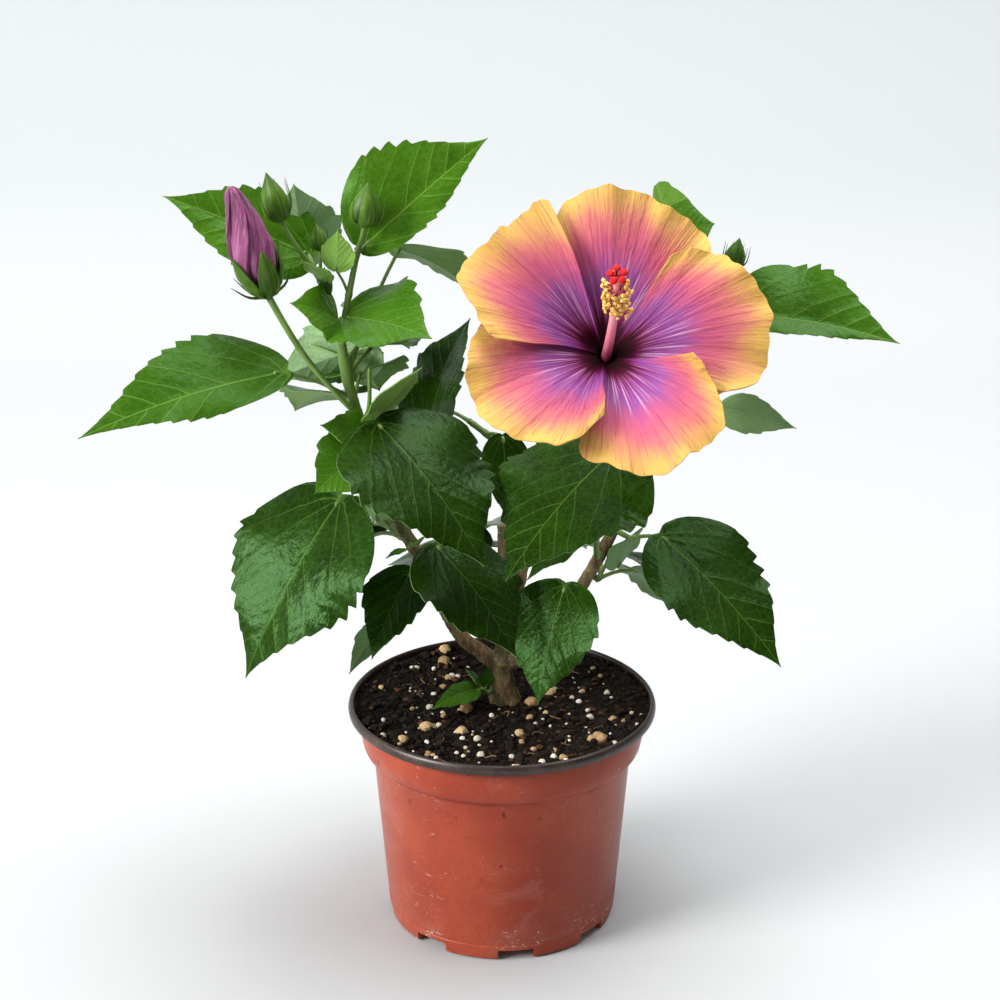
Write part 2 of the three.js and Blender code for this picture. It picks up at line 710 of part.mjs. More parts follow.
function leftLow() {
  const shoot = new Shoot("foliage_left_low");
  const stem = shoot.twig([...boughLeft.beside(0.76, 205, 10), [-59, -4, 189]], 1.3, 1.1);
  return shoot
    .leaf(stem, 1, [222, 8, 9], [213, -56, 82], { wide: 0.82, roll: -20, fold: 0.14 })
    .mesh();
}

function leftBehind() {
  const shoot = new Shoot("foliage_left_behind");
  const stem = shoot.twig([...boughLeft.beside(0.58, 140, 10), [-50, 16, 173]], 1.4, 1.1);
  return shoot
    .leaf(stem, 0.9, [150, -5, 4], [222, 65, 30], { wide: 0.72 })
    .spray(stem, {
      room: [[-98, 10, 116], [-38, 80, 178]],
      count: 14, toward: 130, spread: 75, length: 58, rise: 0, droop: -30, seed: 8,
    })
    .mesh();
}

function leftSprig() {
  const shoot = new Shoot("foliage_left_sprig", YOUNG_GREEN);
  const stem = shoot.twig(boughLeft.beside(0.56, 270, 10), 0.9, 0.8);
  return shoot
    .leaf(stem, 0.9, [210, -20, 3], [205, -15, 9], { wide: 0.5 })
    .leaf(stem, 0.9, [320, 20, 3], [320, 40, 11], { wide: 0.6 })
    .mesh();
}

function middleFront() {
  const shoot = new Shoot("foliage_middle_front");
  const stem = shoot.twig([...boughLeft.beside(0.42, 275, 20), [-29, -8, 155]], 1.5, 1.2);
  return shoot
    .leaf(stem, 0.93, [285, 62, 21], [322, -43, 56], { wide: 0.95, roll: 4, fold: 0.12 })
    .leaf(stem, 0.8, [190, 30, 10], [231, -50, 40], { wide: 0.74, roll: -6 })
    .leaf(stem, 0.5, [195, -35, 26], [190, -55, 27], { wide: 0.5, roll: 75 })
    .mesh();
}

function frontRight() {
  const shoot = new Shoot("foliage_front_right");
  const root = boughRight.beside(0.42, 250, 20);
  const stem = shoot.twig([...root, [38.5, -4, 184], [40, -10, 198]], 1.5, 1.1);
  return shoot
    .leaf(stem, 1, [295, 58, 19], [220, -36, 70], { wide: 1.02, roll: -6, fold: 0.12 })
    .leaf(stem, 0.5, [215, 0, 9], [208, -30, 28], { wide: 0.7 })
    .mesh();
}

function foot() {
  const shoot = new Shoot("foliage_foot");
  const stem = shoot.twig([...boughRight.beside(0.15, 275, 15), [22, -6, 146]], 1.5, 1.2);
  return shoot
    .leaf(stem, 1, [300, 45, 11], [243, -60, 50], { wide: 0.86, roll: 6, fold: 0.14 })
    .leaf(stem, 0.6, [205, 50, 20], [317, -26, 14], { wide: 0.8 })
    .mesh();
}

function basalShoot() {
  const shoot = new Shoot("foliage_basal", YOUNG_GREEN);
  const stem = shoot.twig([...trunkStem.beside(0.3, 216, 20), [-9, 1, GROUND + 8]], 1.3, 0.9);
  return shoot
    .leaf(stem, 0.9, [225, 10, 3], [208, -12, 27], { wide: 0.5, roll: -35, bend: 60 })
    .leaf(stem, 0.9, [150, 50, 2], [170, 50, 9], { wide: 0.8 })
    .leaf(stem, 0.7, [60, 40, 3], [95, 60, 8], { wide: 0.8 })
    .mesh();
}

function rightLow() {
  const shoot = new Shoot("foliage_right_low");
  const stem = shoot.twig([...boughRight.beside(0.55, 325, 5), [53, 3, 169]], 1.3, 1.1);
  return shoot
    .leaf(stem, 1, [325, 13, 16], [330, -40, 74], { wide: 0.8, roll: 25, fold: 0.14 })
    .mesh();
}

function rightUnder() {
  const shoot = new Shoot("foliage_right_under");
  const stem = shoot.twig([...boughRight.beside(0.33, 25, 0), [42, 16, 151]], 1.4, 1.1);
  return shoot
    .leaf(stem, 1, [350, 5, 7], [322, 58, 26], { wide: 0.85 })
    .spray(stem, {
      room: [[22, 12, 102], [108, 82, 157]],
      count: 14, toward: 60, spread: 75, length: 58, rise: 0, droop: -28, seed: 12,
    })
    .mesh();
}

function rightCrown() {
  const shoot = new Shoot("foliage_right_crown");
  const leader = shoot.stem(rightLeader);
  return shoot
    .leaf(leader, 0.72, [333, 35, 33], [344, -6, 66], { wide: 0.62, roll: 38 })
    .leaf(leader, 0.95, [193, 66, 27], [350, 24, 38], { wide: 0.72, roll: 45 })
    .leaf(leader, 0.5, [346, -5, 25], [337, -8, 34], { wide: 0.6, roll: 60, bend: 40 })
    .bud(leader, 1, [3, 28, 21], [0, 79, 13], 8)
    .spray(leader, {
      room: [[30, 14, 214], [104, 92, 282]],
      count: 26, toward: 90, spread: 90, length: 58, rise: 5, droop: -22, seed: 4,
    })
    .mesh();
}

function backLeft() {
  const shoot = new Shoot("foliage_back_left");
  const root = boughBack.beside(0.8, 165, 20);
  const stem = shoot.twig([...root, [-2, 44, 196], [-14, 46, 206]], 1.9, 1.3);
  return shoot
    .leaf(stem, 0.8, [300, 10, 14], [286, -78, 36], { wide: 0.6 })
    .spray(stem, {
      room: [[-62, 22, 176], [12, 112, 262]],
      count: 30, toward: 120, spread: 110, length: 58, rise: 10, droop: -24, seed: 17,
    })
    .mesh();
}

function backRight() {
  const shoot = new Shoot("foliage_back_right");
  const root = boughBack.beside(0.62, 20, 15);
  const stem = shoot.twig([...root, [34, 44, 184], [50, 48, 192]], 1.8, 1.2);
  return shoot
    .spray(stem, {
      room: [[14, 24, 158], [86, 116, 208]],
      count: 26, toward: 60, spread: 90, length: 60, rise: 0, droop: -26, seed: 29,
    })
    .mesh();
}

function backHigh() {
  const shoot = new Shoot("foliage_back_high");
  const stem = shoot.twig([...boughBack.beyond(), [20, 46, 220], [24, 44, 246]], 1.8, 1.1);
  return shoot
    .spray(stem, {
      room: [[-22, 18, 200], [66, 104, 284]],
      count: 30, toward: 100, spread: 160, length: 52, rise: 15, droop: -18, seed: 41,
    })
    .mesh();
}

function backLow() {
  const shoot = new Shoot("foliage_back_low");
  const stem = shoot.twig([...boughBack.beside(0.4, 110, 10), [6, 48, 162]], 1.7, 1.2);
  return shoot
    .spray(stem, {
      room: [[-52, 30, 116], [58, 112, 178]],
      count: 18, toward: 90, spread: 95, length: 60, rise: 0, droop: -30, seed: 52,
    })
    .mesh();
}

// The bud that is about to open, on a long stalk of its own.
const BUD_LENGTH = 46;
const budFrame = frame(vec(-91, -14, 277), 198, 73);

function budStalk() {
  const [base, out] = leftLeader.beside(0.47, 250, 10).map((spot) => vec(...spot));
  const head = vec(-1, 0, 0).applyMatrix4(budFrame);
  const middle = out.clone().lerp(head, 0.5).add(vec(-1.5, 0, -2));
  return curveThrough([base, out, middle, head, vec(4, 0, 0).applyMatrix4(budFrame)]);
}

function openingBud() {
  const petals = [[1.5, 2.6], [7, 5.7], [17, 8.6], [28, 7.4], [38, 4.5], [44, 2.9]];
  const sepals = [[0, 2], [3, 6], [9, 8.2], [15, 9.2]];
  const pieces = [
    loft(vec(0, 0, 0), cup(petals, 0.05, 0.28), vec(BUD_LENGTH, 0, 0)),
    loft(vec(-1, 0, 0), cup(sepals), vec(13, 0, 0)),
  ];
  for (let i = 0; i < BRACTS; i++) {
    const turn = new THREE.Matrix4().makeRotationX(rad((360 / BRACTS) * i + 15));
    pieces.push(bract(15, 15).applyMatrix4(turn));
  }
  pieces.forEach((piece) => piece.applyMatrix4(budFrame));
  pieces.push(tube(budStalk(), (t) => 1 + 0.6 * t, 7, 6));
  return meshOf("bud_opening", joined(pieces), PURPLE);
}

// ---- The plant ----
for (const limb of [boughLeft, boughRight, boughBack, boughPruned]) {
  taken.push(...limb.curve.getPoints(24));
}
taken.push(...bloomSamples(), ...pedicel().getPoints(12), ...budStalk().getPoints(12));

const plant = new THREE.Group();
plant.add(meshOf("pot", pot(), TERRACOTTA));
plant.add(meshOf("pot_lip", lip(), DARK_PLASTIC));
plant.add(meshOf("soil", soil(), PEAT));
plant.add(meshOf("trunk", trunk(), BARK));
plant.add(meshOf("bough_left", solid(boughLeft.geometry(12, 10)), BARK));
plant.add(meshOf("bough_right", solid(boughRight.geometry(12, 10)), BARK));
plant.add(meshOf("bough_back", solid(boughBack.geometry(8, 10)), BARK));
plant.add(meshOf("bough_pruned", solid(boughPruned.geometry(6, 10)), BARK));
plant.add(bloom());
plant.add(openingBud());
const masses = [
  leftFront, leftLow, leftSprig, middleFront, frontRight, foot, basalShoot, rightLow, leftCrown,
  rightCrown, leftInner, leftBehind, rightUnder, backLeft, backRight, backHigh, backLow,
];
for (const mass of masses) plant.add(mass());

export default plant;
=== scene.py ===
# %% [markdown]
# # A potted hibiscus, dressed over its frame
#
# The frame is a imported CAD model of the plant. It fixes how big everything is and where it
# stands. This notebook gives each part the surface of the real one: serrated leaves with veins,
# ruffled petals, bark, a plastic pot and crumbly soil. Everything is in metres, with the pot's
# axis on Z and the bloom facing -Y.

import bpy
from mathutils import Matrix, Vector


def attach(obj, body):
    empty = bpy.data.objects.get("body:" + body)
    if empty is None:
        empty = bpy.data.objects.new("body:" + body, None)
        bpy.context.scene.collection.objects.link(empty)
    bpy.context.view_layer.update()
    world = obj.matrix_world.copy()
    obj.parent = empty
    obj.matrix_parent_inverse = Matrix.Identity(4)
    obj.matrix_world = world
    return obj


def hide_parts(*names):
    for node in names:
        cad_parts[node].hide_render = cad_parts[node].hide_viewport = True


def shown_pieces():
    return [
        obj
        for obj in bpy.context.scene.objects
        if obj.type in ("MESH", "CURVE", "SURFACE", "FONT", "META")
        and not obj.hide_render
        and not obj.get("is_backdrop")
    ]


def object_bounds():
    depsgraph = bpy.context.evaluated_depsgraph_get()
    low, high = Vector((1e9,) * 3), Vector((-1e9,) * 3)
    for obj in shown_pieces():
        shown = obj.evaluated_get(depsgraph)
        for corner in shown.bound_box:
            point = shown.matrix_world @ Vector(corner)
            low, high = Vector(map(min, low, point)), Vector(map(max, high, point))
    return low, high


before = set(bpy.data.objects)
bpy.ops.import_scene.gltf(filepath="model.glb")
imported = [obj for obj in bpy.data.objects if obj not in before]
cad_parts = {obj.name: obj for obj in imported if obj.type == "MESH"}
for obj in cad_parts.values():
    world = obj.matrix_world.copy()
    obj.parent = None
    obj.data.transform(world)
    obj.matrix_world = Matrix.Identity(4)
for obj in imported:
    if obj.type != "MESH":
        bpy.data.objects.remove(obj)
cad_low, cad_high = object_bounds()
print("the frame reaches from", cad_low[:], "to", cad_high[:])

# %% [markdown]
# ## Small tools
#
# An operator acts on whatever is selected, so every step first selects just its own piece.
# `finish_piece` is the last step for each one: it clears the object's own place, so that the
# place is in the mesh, shades it, and ties it to the frame.

# %% Selecting and finishing a piece
import math

import bpy
import numpy as np
from mathutils import Vector, noise

MM = 0.001


def select_only(*objects):
    bpy.ops.object.select_all(action="DESELECT")
    for thing in objects:
        thing.select_set(True)
    bpy.context.view_layer.objects.active = objects[0]


def apply_modifiers(piece):
    select_only(piece)
    for modifier in list(piece.modifiers):
        bpy.ops.object.modifier_apply(modifier=modifier.name)


def finish_piece(piece, name, material, slot, nodes=(), crease=35):
    piece.name = name
    piece.data.name = name
    piece.data.materials.clear()
    piece.data.materials.append(material)
    select_only(piece)
    bpy.ops.object.transform_apply(location=True, rotation=True, scale=True)
    bpy.ops.object.shade_smooth_by_angle(angle=math.radians(crease))
    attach(piece, "root")
    if nodes:
        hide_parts(*nodes)
    print(f"{name}: {len(piece.data.polygons)} faces")


# %% [markdown]
# Shader nodes are plugged together with a few helpers, which keep the recipes further down
# short. They all add to the tree on the desk, which is that of the newest material. `add_node`
# makes a node and fills its sockets, `calc` and `times` are arithmetic, `tint` lays a colour
# over another through a mask, and `coat` plugs the results into the shader.

# %% Helpers for shader nodes
desk = {"tree": None}  # the node tree that every helper adds to


def add_node(kind, inputs=(), **settings):
    node = desk["tree"].nodes.new(kind)
    for key, value in settings.items():
        setattr(node, key, value)
    for key, value in dict(inputs).items():
        if isinstance(value, bpy.types.NodeSocket):
            desk["tree"].links.new(value, node.inputs[key])
        else:
            node.inputs[key].default_value = value
    return node


def calc(operation, *values):
    return add_node("ShaderNodeMath", dict(enumerate(values)), operation=operation).outputs[0]


def times(*values):
    """a * b, or a * b + c."""
    return calc("MULTIPLY" if len(values) == 2 else "MULTIPLY_ADD", *values)


def blend_colours(share, low, high):
    low, high = [(*end, 1) if isinstance(end, tuple) else end for end in (low, high)]
    inputs = {0: share, 6: low, 7: high}
    return add_node("ShaderNodeMix", inputs, data_type="RGBA").outputs[2]


def tint(base, colour, mask, amount):
    """The base colour, with some of another where the mask is 1."""
    return blend_colours(times(mask, amount), base, colour)


def steps(value, *stops):
    ramp = add_node("ShaderNodeValToRGB", {0: value})
    points = ramp.color_ramp.elements
    while len(points) < len(stops):
        points.new(0.5)
    for point, (at, _) in zip(points, stops):
        point.position = at
    for point, (_, colour) in zip(points, stops):
        point.color = (*colour, 1)
    return ramp.outputs[0]


def between(value, low, high):
    """0 below low, 1 above high, and smooth in between."""
    inputs = {0: value, 1: low, 2: high, 3: 0.0, 4: 1.0}
    return add_node("ShaderNodeMapRange", inputs, interpolation_type="SMOOTHSTEP").outputs[0]


def band(value, low, rise, fall, high):
    """1 from rise to fall, and 0 below low and above high."""
    return times(between(value, low, rise), between(value, high, fall))


def plug(socket, key):
    """Link a socket to the shader of the material at hand."""
    shader = desk["tree"].nodes["Principled BSDF"]
    desk["tree"].links.new(socket, shader.inputs[key])


def new_material(name, **constants):
    """A material with these settings. The helpers add to its tree from here on."""
    material = bpy.data.materials.new(name)
    material.use_nodes = True
    desk["tree"] = material.node_tree
    shader = material.node_tree.nodes["Principled BSDF"]
    for key, value in constants.items():
        shader.inputs[key.replace("_", " ")].default_value = value
    return material


def coat(colour, height, distance, strength, matt=None):
    """Plug in a colour, a relief as deep as `distance` in metres, and perhaps a roughness."""
    plug(colour, "Base Color")
    if matt:
        plug(matt, "Roughness")
    inputs = {"Height": height, "Distance": distance, "Strength": strength}
    plug(add_node("ShaderNodeBump", inputs).outputs["Normal"], "Normal")


def own_place():
    return add_node("ShaderNodeTexCoord").outputs["Object"]


def uv_map():
    return add_node("ShaderNodeTexCoord").outputs["UV"]


def cloud(at, scale, detail=4.0, rough=0.55, distortion=0.0):
    inputs = {"Vector": at, "Scale": scale, "Detail": detail, "Roughness": rough}
    inputs["Distortion"] = distortion
    return add_node("ShaderNodeTexNoise", inputs).outputs["Fac"]


def cells(at, scale, feature="F1"):
    inputs = {"Vector": at, "Scale": scale}
    return add_node("ShaderNodeTexVoronoi", inputs, feature=feature).outputs


def stretch(at, scale):
    return add_node("ShaderNodeMapping", {"Vector": at, "Scale": scale}).outputs[0]


def split(at):
    return add_node("ShaderNodeSeparateXYZ", {0: at}).outputs


def tones():
    """The three numbers that each point of the plant carries, see further down."""
    tone = add_node("ShaderNodeAttribute", attribute_name="tone")
    return split(tone.outputs["Color"])


# %% [markdown]
# ## The studio
#
# The plant stands on a pale sweep: a floor that curves up into a wall, as in any studio, so
# there is no hard line behind it. The wall stands well back, behind the camera of a view
# from the rear. One broad light hangs to the left and in front, another overhead, and the pale
# surroundings fill the shadows. The camera looks down at about 20 degrees with a long lens.

# %% Camera
EYE = (0, -0.85, 0.498)
TILT = 69.9  # degrees up from straight down
bpy.ops.object.camera_add(location=EYE, rotation=(math.radians(TILT), 0, 0))
camera = bpy.context.object
camera.data.sensor_width = 36
camera.data.lens = 79.6
camera.data.shift_x = -0.002
camera.data.clip_start = 0.05
bpy.context.scene.camera = camera
print("camera at", EYE)


# %% Lights
def hang_light(name, at, aim, size, watts, colour):
    bpy.ops.object.light_add(type="AREA", location=at)
    lamp = bpy.context.object
    lamp.name = name
    lamp.data.shape = "DISK"
    lamp.data.size = size
    lamp.data.energy = watts
    lamp.data.color = colour
    lamp.rotation_euler = (Vector(aim) - Vector(at)).to_track_quat("-Z", "Y").to_euler()


PLANT_MIDDLE = (0, 0, 0.17)
hang_light("key_light", (-2.6, -1.35, 1.6), PLANT_MIDDLE, 1.5, 155, (1.0, 0.985, 0.965))
hang_light("top_light", (0.4, 0.25, 2.2), PLANT_MIDDLE, 1.8, 64, (0.98, 0.99, 1.0))

# %% Surroundings
# The room is white above and to the left, and dim to the right, where the shadows fall.
# Where the camera sees past the paper, it sees plain white.
scene = bpy.context.scene
scene.view_settings.view_transform = "Standard"
world = bpy.data.worlds.new("studio")
scene.world = world
world.use_nodes = True
desk["tree"] = world.node_tree
towards = split(add_node("ShaderNodeTexCoord").outputs["Generated"])
sideways = between(towards[0], 0.45, -0.75)
upward = between(towards[2], 0.25, 0.85)
light = calc("MAXIMUM", times(sideways, 0.95), upward)
light = times(light, 0.62, 0.05)
seen = add_node("ShaderNodeLightPath").outputs["Is Camera Ray"]
light = calc("MAXIMUM", light, times(seen, 1.05))
background = world.node_tree.nodes["Background"].inputs
world.node_tree.links.new(light, background["Strength"])
background["Color"].default_value = (0.95, 0.98, 1.0, 1)

# %% The sweep
SWEEP_WIDTH, SWEEP_FRONT, SWEEP_WALL = 7, 3.2, 2.4  # across, before the pot, and up the wall
SWEEP_BACK = 1.25  # how far behind the pot the wall stands
SWEEP_ROUND = 0.5  # radius of the curve between floor and wall
SWEEP_STEPS = 12

bpy.ops.mesh.primitive_plane_add(size=1, location=(0, 0, 0))
sweep = bpy.context.object
sweep.scale = (SWEEP_WIDTH, SWEEP_BACK - SWEEP_ROUND + SWEEP_FRONT, 1)
sweep.location = (0, (SWEEP_BACK - SWEEP_ROUND - SWEEP_FRONT) / 2, -0.0004)
select_only(sweep)
bpy.ops.object.transform_apply(location=True, rotation=True, scale=True)
bpy.ops.object.mode_set(mode="EDIT")
bpy.ops.mesh.select_all(action="DESELECT")
bpy.ops.object.mode_set(mode="OBJECT")
for edge in sweep.data.edges:
    edge.select = all(sweep.data.vertices[i].co.y > 0 for i in edge.vertices)
bpy.ops.object.mode_set(mode="EDIT")
bpy.ops.mesh.select_mode(type="EDGE")
stride = 2 * SWEEP_ROUND * math.sin(math.radians(45 / SWEEP_STEPS))
for i in range(SWEEP_STEPS):
    turn = math.radians(90 * (i + 0.5) / SWEEP_STEPS)
    move = (0, stride * math.cos(turn), stride * math.sin(turn))
    bpy.ops.mesh.extrude_region_move(TRANSFORM_OT_translate={"value": move})
bpy.ops.mesh.extrude_region_move(TRANSFORM_OT_translate={"value": (0, 0, SWEEP_WALL)})
bpy.ops.object.mode_set(mode="OBJECT")
bpy.ops.object.shade_smooth()
sweep.name = "sweep"
material = new_material("sweep_paper", Roughness=0.85)
# Painted shade: the paper is painted a little darker and bluer where it rises into the wall, though
# floor and wall are one sheet.
height = split(own_place())[2]
above = between(height, 0.0, 0.12)
paper = blend_colours(above, (0.44, 0.447, 0.452), (0.39, 0.408, 0.414))
plug(paper, "Base Color")
sweep.data.materials.append(material)
sweep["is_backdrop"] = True

# %% [markdown]
# ## How the plant grows
#
# Limbs, twigs and leaf stalks are smooth curves through a few points. Leaves are placed by a
# compass heading, a rise and a length. The leaves at the back come from a seeded rule, so they
# fall in the same places on every run. The frame's source uses the same rule, and that is why
# the fine leaves below land just where its coarse ones stand. These numbers are millimetres.

# %% Directions, curves and seeded numbers
GAP = 0.3  # between one part of the frame and the next
STALK_RADIUS = 0.95
LEAF_SHAPE = 0.7  # width over length of an ordinary blade
LEAF_BEND = 26  # degrees an ordinary blade curls over its length
LEAF_FOLD = 0.24  # how far the halves rise from the midrib, over their width
CLEAR = 7  # least distance between neighbours


def vec(*xyz):
    return np.array(xyz, float)


def unit(v):
    return v / np.linalg.norm(v)


def direction(heading, rise):
    h, r = math.radians(heading), math.radians(rise)
    return vec(math.cos(r) * math.cos(h), math.cos(r) * math.sin(h), math.sin(r))


class Place:
    """A frame whose X runs along a heading and rise, with Z as its upper side."""

    def __init__(self, at, heading, rise, roll=0.0):
        ahead = direction(heading, rise)
        level = direction(heading + 90, 0)
        upper = np.cross(ahead, level)
        left = level * math.cos(math.radians(roll)) + upper * math.sin(math.radians(roll))
        self.at = np.asarray(at, float)
        self.axes = np.stack([ahead, left, np.cross(ahead, left)])

    def put(self, points):
        return np.asarray(points, float) @ self.axes + self.at


DICE_STRIDE, DICE_SHIFT, DICE_FACES = 1664525, 1013904223, 2**32


def dice(seed):
    """A throw from 0 to 1 at each call, the same row of them for the same seed."""
    state = [seed]

    def roll():
        state[0] = (state[0] * DICE_STRIDE + DICE_SHIFT) % DICE_FACES
        return state[0] / DICE_FACES

    return roll


class Curve:
    def __init__(self, points):
        self.points = np.array([np.asarray(p, float) for p in points])

    def at(self, t):
        p, last = self.points, len(self.points) - 1
        i = min(int(math.floor(last * t)), last - 1)
        w = last * t - i
        before = p[i - 1] if i > 0 else 2 * p[0] - p[1]
        after = p[i + 2] if i + 2 <= last else 2 * p[last] - p[last - 1]
        start, end = (p[i + 1] - before) / 2, (after - p[i]) / 2
        bend = -3 * p[i] + 3 * p[i + 1] - 2 * start - end
        twist = 2 * p[i] - 2 * p[i + 1] + start + end
        return p[i] + start * w + bend * w**2 + twist * w**3

    def tangent(self, t):
        return unit(self.at(min(1, t + 0.0001)) - self.at(max(0, t - 0.0001)))

    def spread(self, count):
        return np.array([self.at(i / count) for i in range(count + 1)])


# %% Limbs
class Limb(Curve):
    def __init__(self, points, thick, thin, flare=0.0):
        super().__init__(points)
        self.thick, self.thin, self.flare = thick, thin, flare

    def radius(self, t):
        return self.thick + (self.thin - self.thick) * t + self.flare * (1 - t) ** 3

    def beside(self, t, heading, rise):
        """Where a twig begins that leaves the bark square."""
        out, along = direction(heading, rise), self.tangent(t)
        out = unit(out - along * (out @ along))
        off = self.radius(t) + GAP
        return [self.at(t) + out * off, self.at(t) + out * (off + 3)]

    def beyond(self):
        """Where a stem begins that carries this limb on."""
        return [self.at(1) + self.tangent(1) * far for far in (GAP, 4)]


GROUND = 93.9  # top of the level patch of soil under the trunk
TRUNK_X, TRUNK_Y, TRUNK_RADIUS, TRUNK_FLARE, FORK_HEIGHT = 1, 9, 4.7, 7.4, 17

trunk_stem = Limb(
    [
        (TRUNK_X, TRUNK_Y, GROUND - 1),
        (TRUNK_X - 0.8, TRUNK_Y, GROUND + 9),
        (TRUNK_X - 1, TRUNK_Y, GROUND + FORK_HEIGHT),
    ],
    TRUNK_RADIUS,
    TRUNK_RADIUS,
    TRUNK_FLARE - TRUNK_RADIUS,
)
bough_left = Limb(
    [(-8.6, 8.7, 115.2), (-19, 7, 126), (-34.5, 4, 161), (-48, 2, 186), (-55.5, 0.4, 213)], 3.3, 2.6
)
bough_right = Limb(
    [(10.2, 8.8, 115), (31, 8, 142), (45, 10, 167), (50, 12, 180), (59, 14, 198)], 2.9, 2.2
)
bough_back = Limb([(3.4, 19.4, 121), (8, 27, 142), (13, 36, 168), (16, 42, 194)], 3, 2.2)
bough_pruned = Limb([(0.6, 10.6, 120.5), (0.8, 12, 146), (0.4, 12, 172)], 2.9, 2.5)
boughs = (bough_left, bough_right, bough_back, bough_pruned)
left_leader = Limb(
    [*bough_left.beyond(), (-60.5, -1, 232), (-63.5, -1, 250), (-65, -1, 262)], 2.5, 1.9
)
right_leader = Limb([*bough_right.beyond(), (66, 16, 225), (70, 16, 248), (74, 15, 270)], 2.1, 1.5)
print("the left bough ends at", bough_left.at(1).round(1))

# %% [markdown]
# ## Many small things in one mesh
#
# A plant has thousands of small surfaces. Adding each with an operator would take minutes, so
# leaves, stalks and grains are made as arrays of points and faces and joined into one mesh per
# kind. Each point also carries a `tone`: three numbers that the materials read, such as upper
# or under side (where a 2 paints a pale green, as painted light shining through the blade), how
# young the leaf is, and a chance number of its own.

# %% Arrays to meshes
def grid_faces(rows, columns):
    i, j = np.meshgrid(np.arange(rows), np.arange(columns), indexing="ij")
    a = i * (columns + 1) + j
    return np.stack([a + 1, a + columns + 2, a + columns + 1, a], -1).reshape(-1, 4)


def join_parts(name, parts):
    """One mesh object out of parts: (points, faces, uv, tone) each, points in millimetres."""
    first, loops, starts, at = 0, [], [], 0
    for points, faces, uv, tone in parts:
        for face in faces:
            loops.append((face + first).ravel())
            starts.append(at + np.arange(len(face)) * face.shape[1])
            at += face.size
        first += len(points)
    loops = np.concatenate(loops).astype(np.int32)
    starts = np.concatenate(starts).astype(np.int32)
    points = np.concatenate([part[0] for part in parts]) * MM
    uv = np.concatenate([part[2] for part in parts])
    tone = np.concatenate([np.broadcast_to(part[3], (len(part[0]), 3)) for part in parts])
    mesh = bpy.data.meshes.new(name)
    mesh.vertices.add(len(points))
    mesh.vertices.foreach_set("co", points.astype(np.float32).ravel())
    mesh.loops.add(len(loops))
    mesh.loops.foreach_set("vertex_index", loops)
    mesh.polygons.add(len(starts))
    mesh.polygons.foreach_set("loop_start", starts)
    mesh.update(calc_edges=True)
    mesh.validate()
    mesh.uv_layers.new(name="UVMap").data.foreach_set("uv", uv[loops].astype(np.float32).ravel())
    colour = mesh.color_attributes.new(name="tone", type="FLOAT_COLOR", domain="POINT")
    rgba = np.concatenate([tone, np.ones((len(tone), 1))], 1)
    colour.data.foreach_set("color", rgba.astype(np.float32).ravel())
    piece = bpy.data.objects.new(name, mesh)
    bpy.context.scene.collection.objects.link(piece)
    return piece


def full_turn(sides):
    return np.linspace(0, 2 * math.pi, sides, endpoint=False)


def turned_about_x(angle, x, out):
    """A point, or one for each angle, at a distance `out` from the X axis."""
    return np.stack([x + 0 * angle, out * np.cos(angle), out * np.sin(angle)], -1)


def put_parts(place, parts):
    return [(place.put(points), *rest) for points, *rest in parts]


def rings_part(rings, uv_scale=1.0, tone=(0, 0, 0)):
    """A closed skin over rings of points, with a point at each end."""
    rings = np.asarray(rings)
    count, sides = rings.shape[:2]
    wrapped = np.concatenate([rings, rings[:, :1]], 1)
    points = wrapped.reshape(-1, 3)
    ends = np.array([rings[0].mean(0), rings[-1].mean(0)])
    around, along = np.meshgrid(np.linspace(0, 1, sides + 1), np.linspace(0, 1, count))
    uv = np.stack([around, along * uv_scale], -1).reshape(-1, 2)
    uv = np.concatenate([uv, [[0.5, 0], [0.5, uv_scale]]])
    j, last = np.arange(sides), (count - 1) * (sides + 1)
    low = np.stack([np.full(sides, len(points)), j + 1, j], -1)
    high = np.stack([np.full(sides, len(points) + 1), last + j, last + j + 1], -1)
    faces = [grid_faces(count - 1, sides), low, high]
    return np.concatenate([points, ends]), faces, uv, np.asarray(tone, float)


def tube_part(points, radii, sides=8, tone=(0, 0, 0)):
    """A round tube along a line of points."""
    points = np.asarray(points)
    ahead = np.gradient(points, axis=0)
    ahead /= np.linalg.norm(ahead, axis=1)[:, None]
    side = np.cross(ahead[0], (0.31, 0.22, 0.92) if abs(ahead[0][2]) < 0.8 else (0.9, 0.3, 0.1))
    rings, turn = [], full_turn(sides)
    for point, way, radius in zip(points, ahead, radii):
        side = unit(side - way * (side @ way))
        up = np.cross(way, side)
        rings.append(point + radius * (np.cos(turn)[:, None] * side + np.sin(turn)[:, None] * up))
    length = np.linalg.norm(np.diff(points, axis=0), axis=1).sum()
    return rings_part(rings, length / 10, tone)


def build_piece(name, parts, *finish):
    finish_piece(join_parts(name, parts), name, *finish)


# %% [markdown]
# ## Leaves
#
# A hibiscus leaf is a broad oval with coarse teeth that lean towards the tip, a fold along the
# midrib and soft waves at its edges. Between its veins the blade puffs up a little. A flat
# cut-out would look thin from the side, so each blade is a closed skin of its own, two layers
# thick, with a row of points wherever a tooth starts, peaks or ends. Its UV map runs along and
# across the blade in blade lengths, so that the veins follow the leaf.

# %% Blade shape
LEAF_THICK = 0.45
TOOTH_DEPTH = 0.1  # of half a blade's width, at its middle
BLADE_COLUMNS = 20
# Each side vein leaves the midrib at `start` and runs forward by slant * a + curl * a**2 where it
# is a blade lengths out from the midrib. The first three spring from the stalk together.
VEIN_LINES = (
    (0.0, 0.1, 0.5),
    (0.0, 0.62, 0.9),
    (0.0, 1.5, 0.9),
    (0.26, 1.3, 0.7),
    (0.44, 1.15, 0.7),
    (0.6, 1.05, 0.6),
    (0.75, 0.95, 0.5),
)


def half_width(t):
    return np.sin(math.pi * t**0.6) ** (0.75 + 0.6 * t)


def lobe(t, length):
    """The round lobes at the foot of a blade reach a little behind the end of its stalk."""
    return -0.06 * length * np.maximum(0, 1 - t / 0.3) ** 2


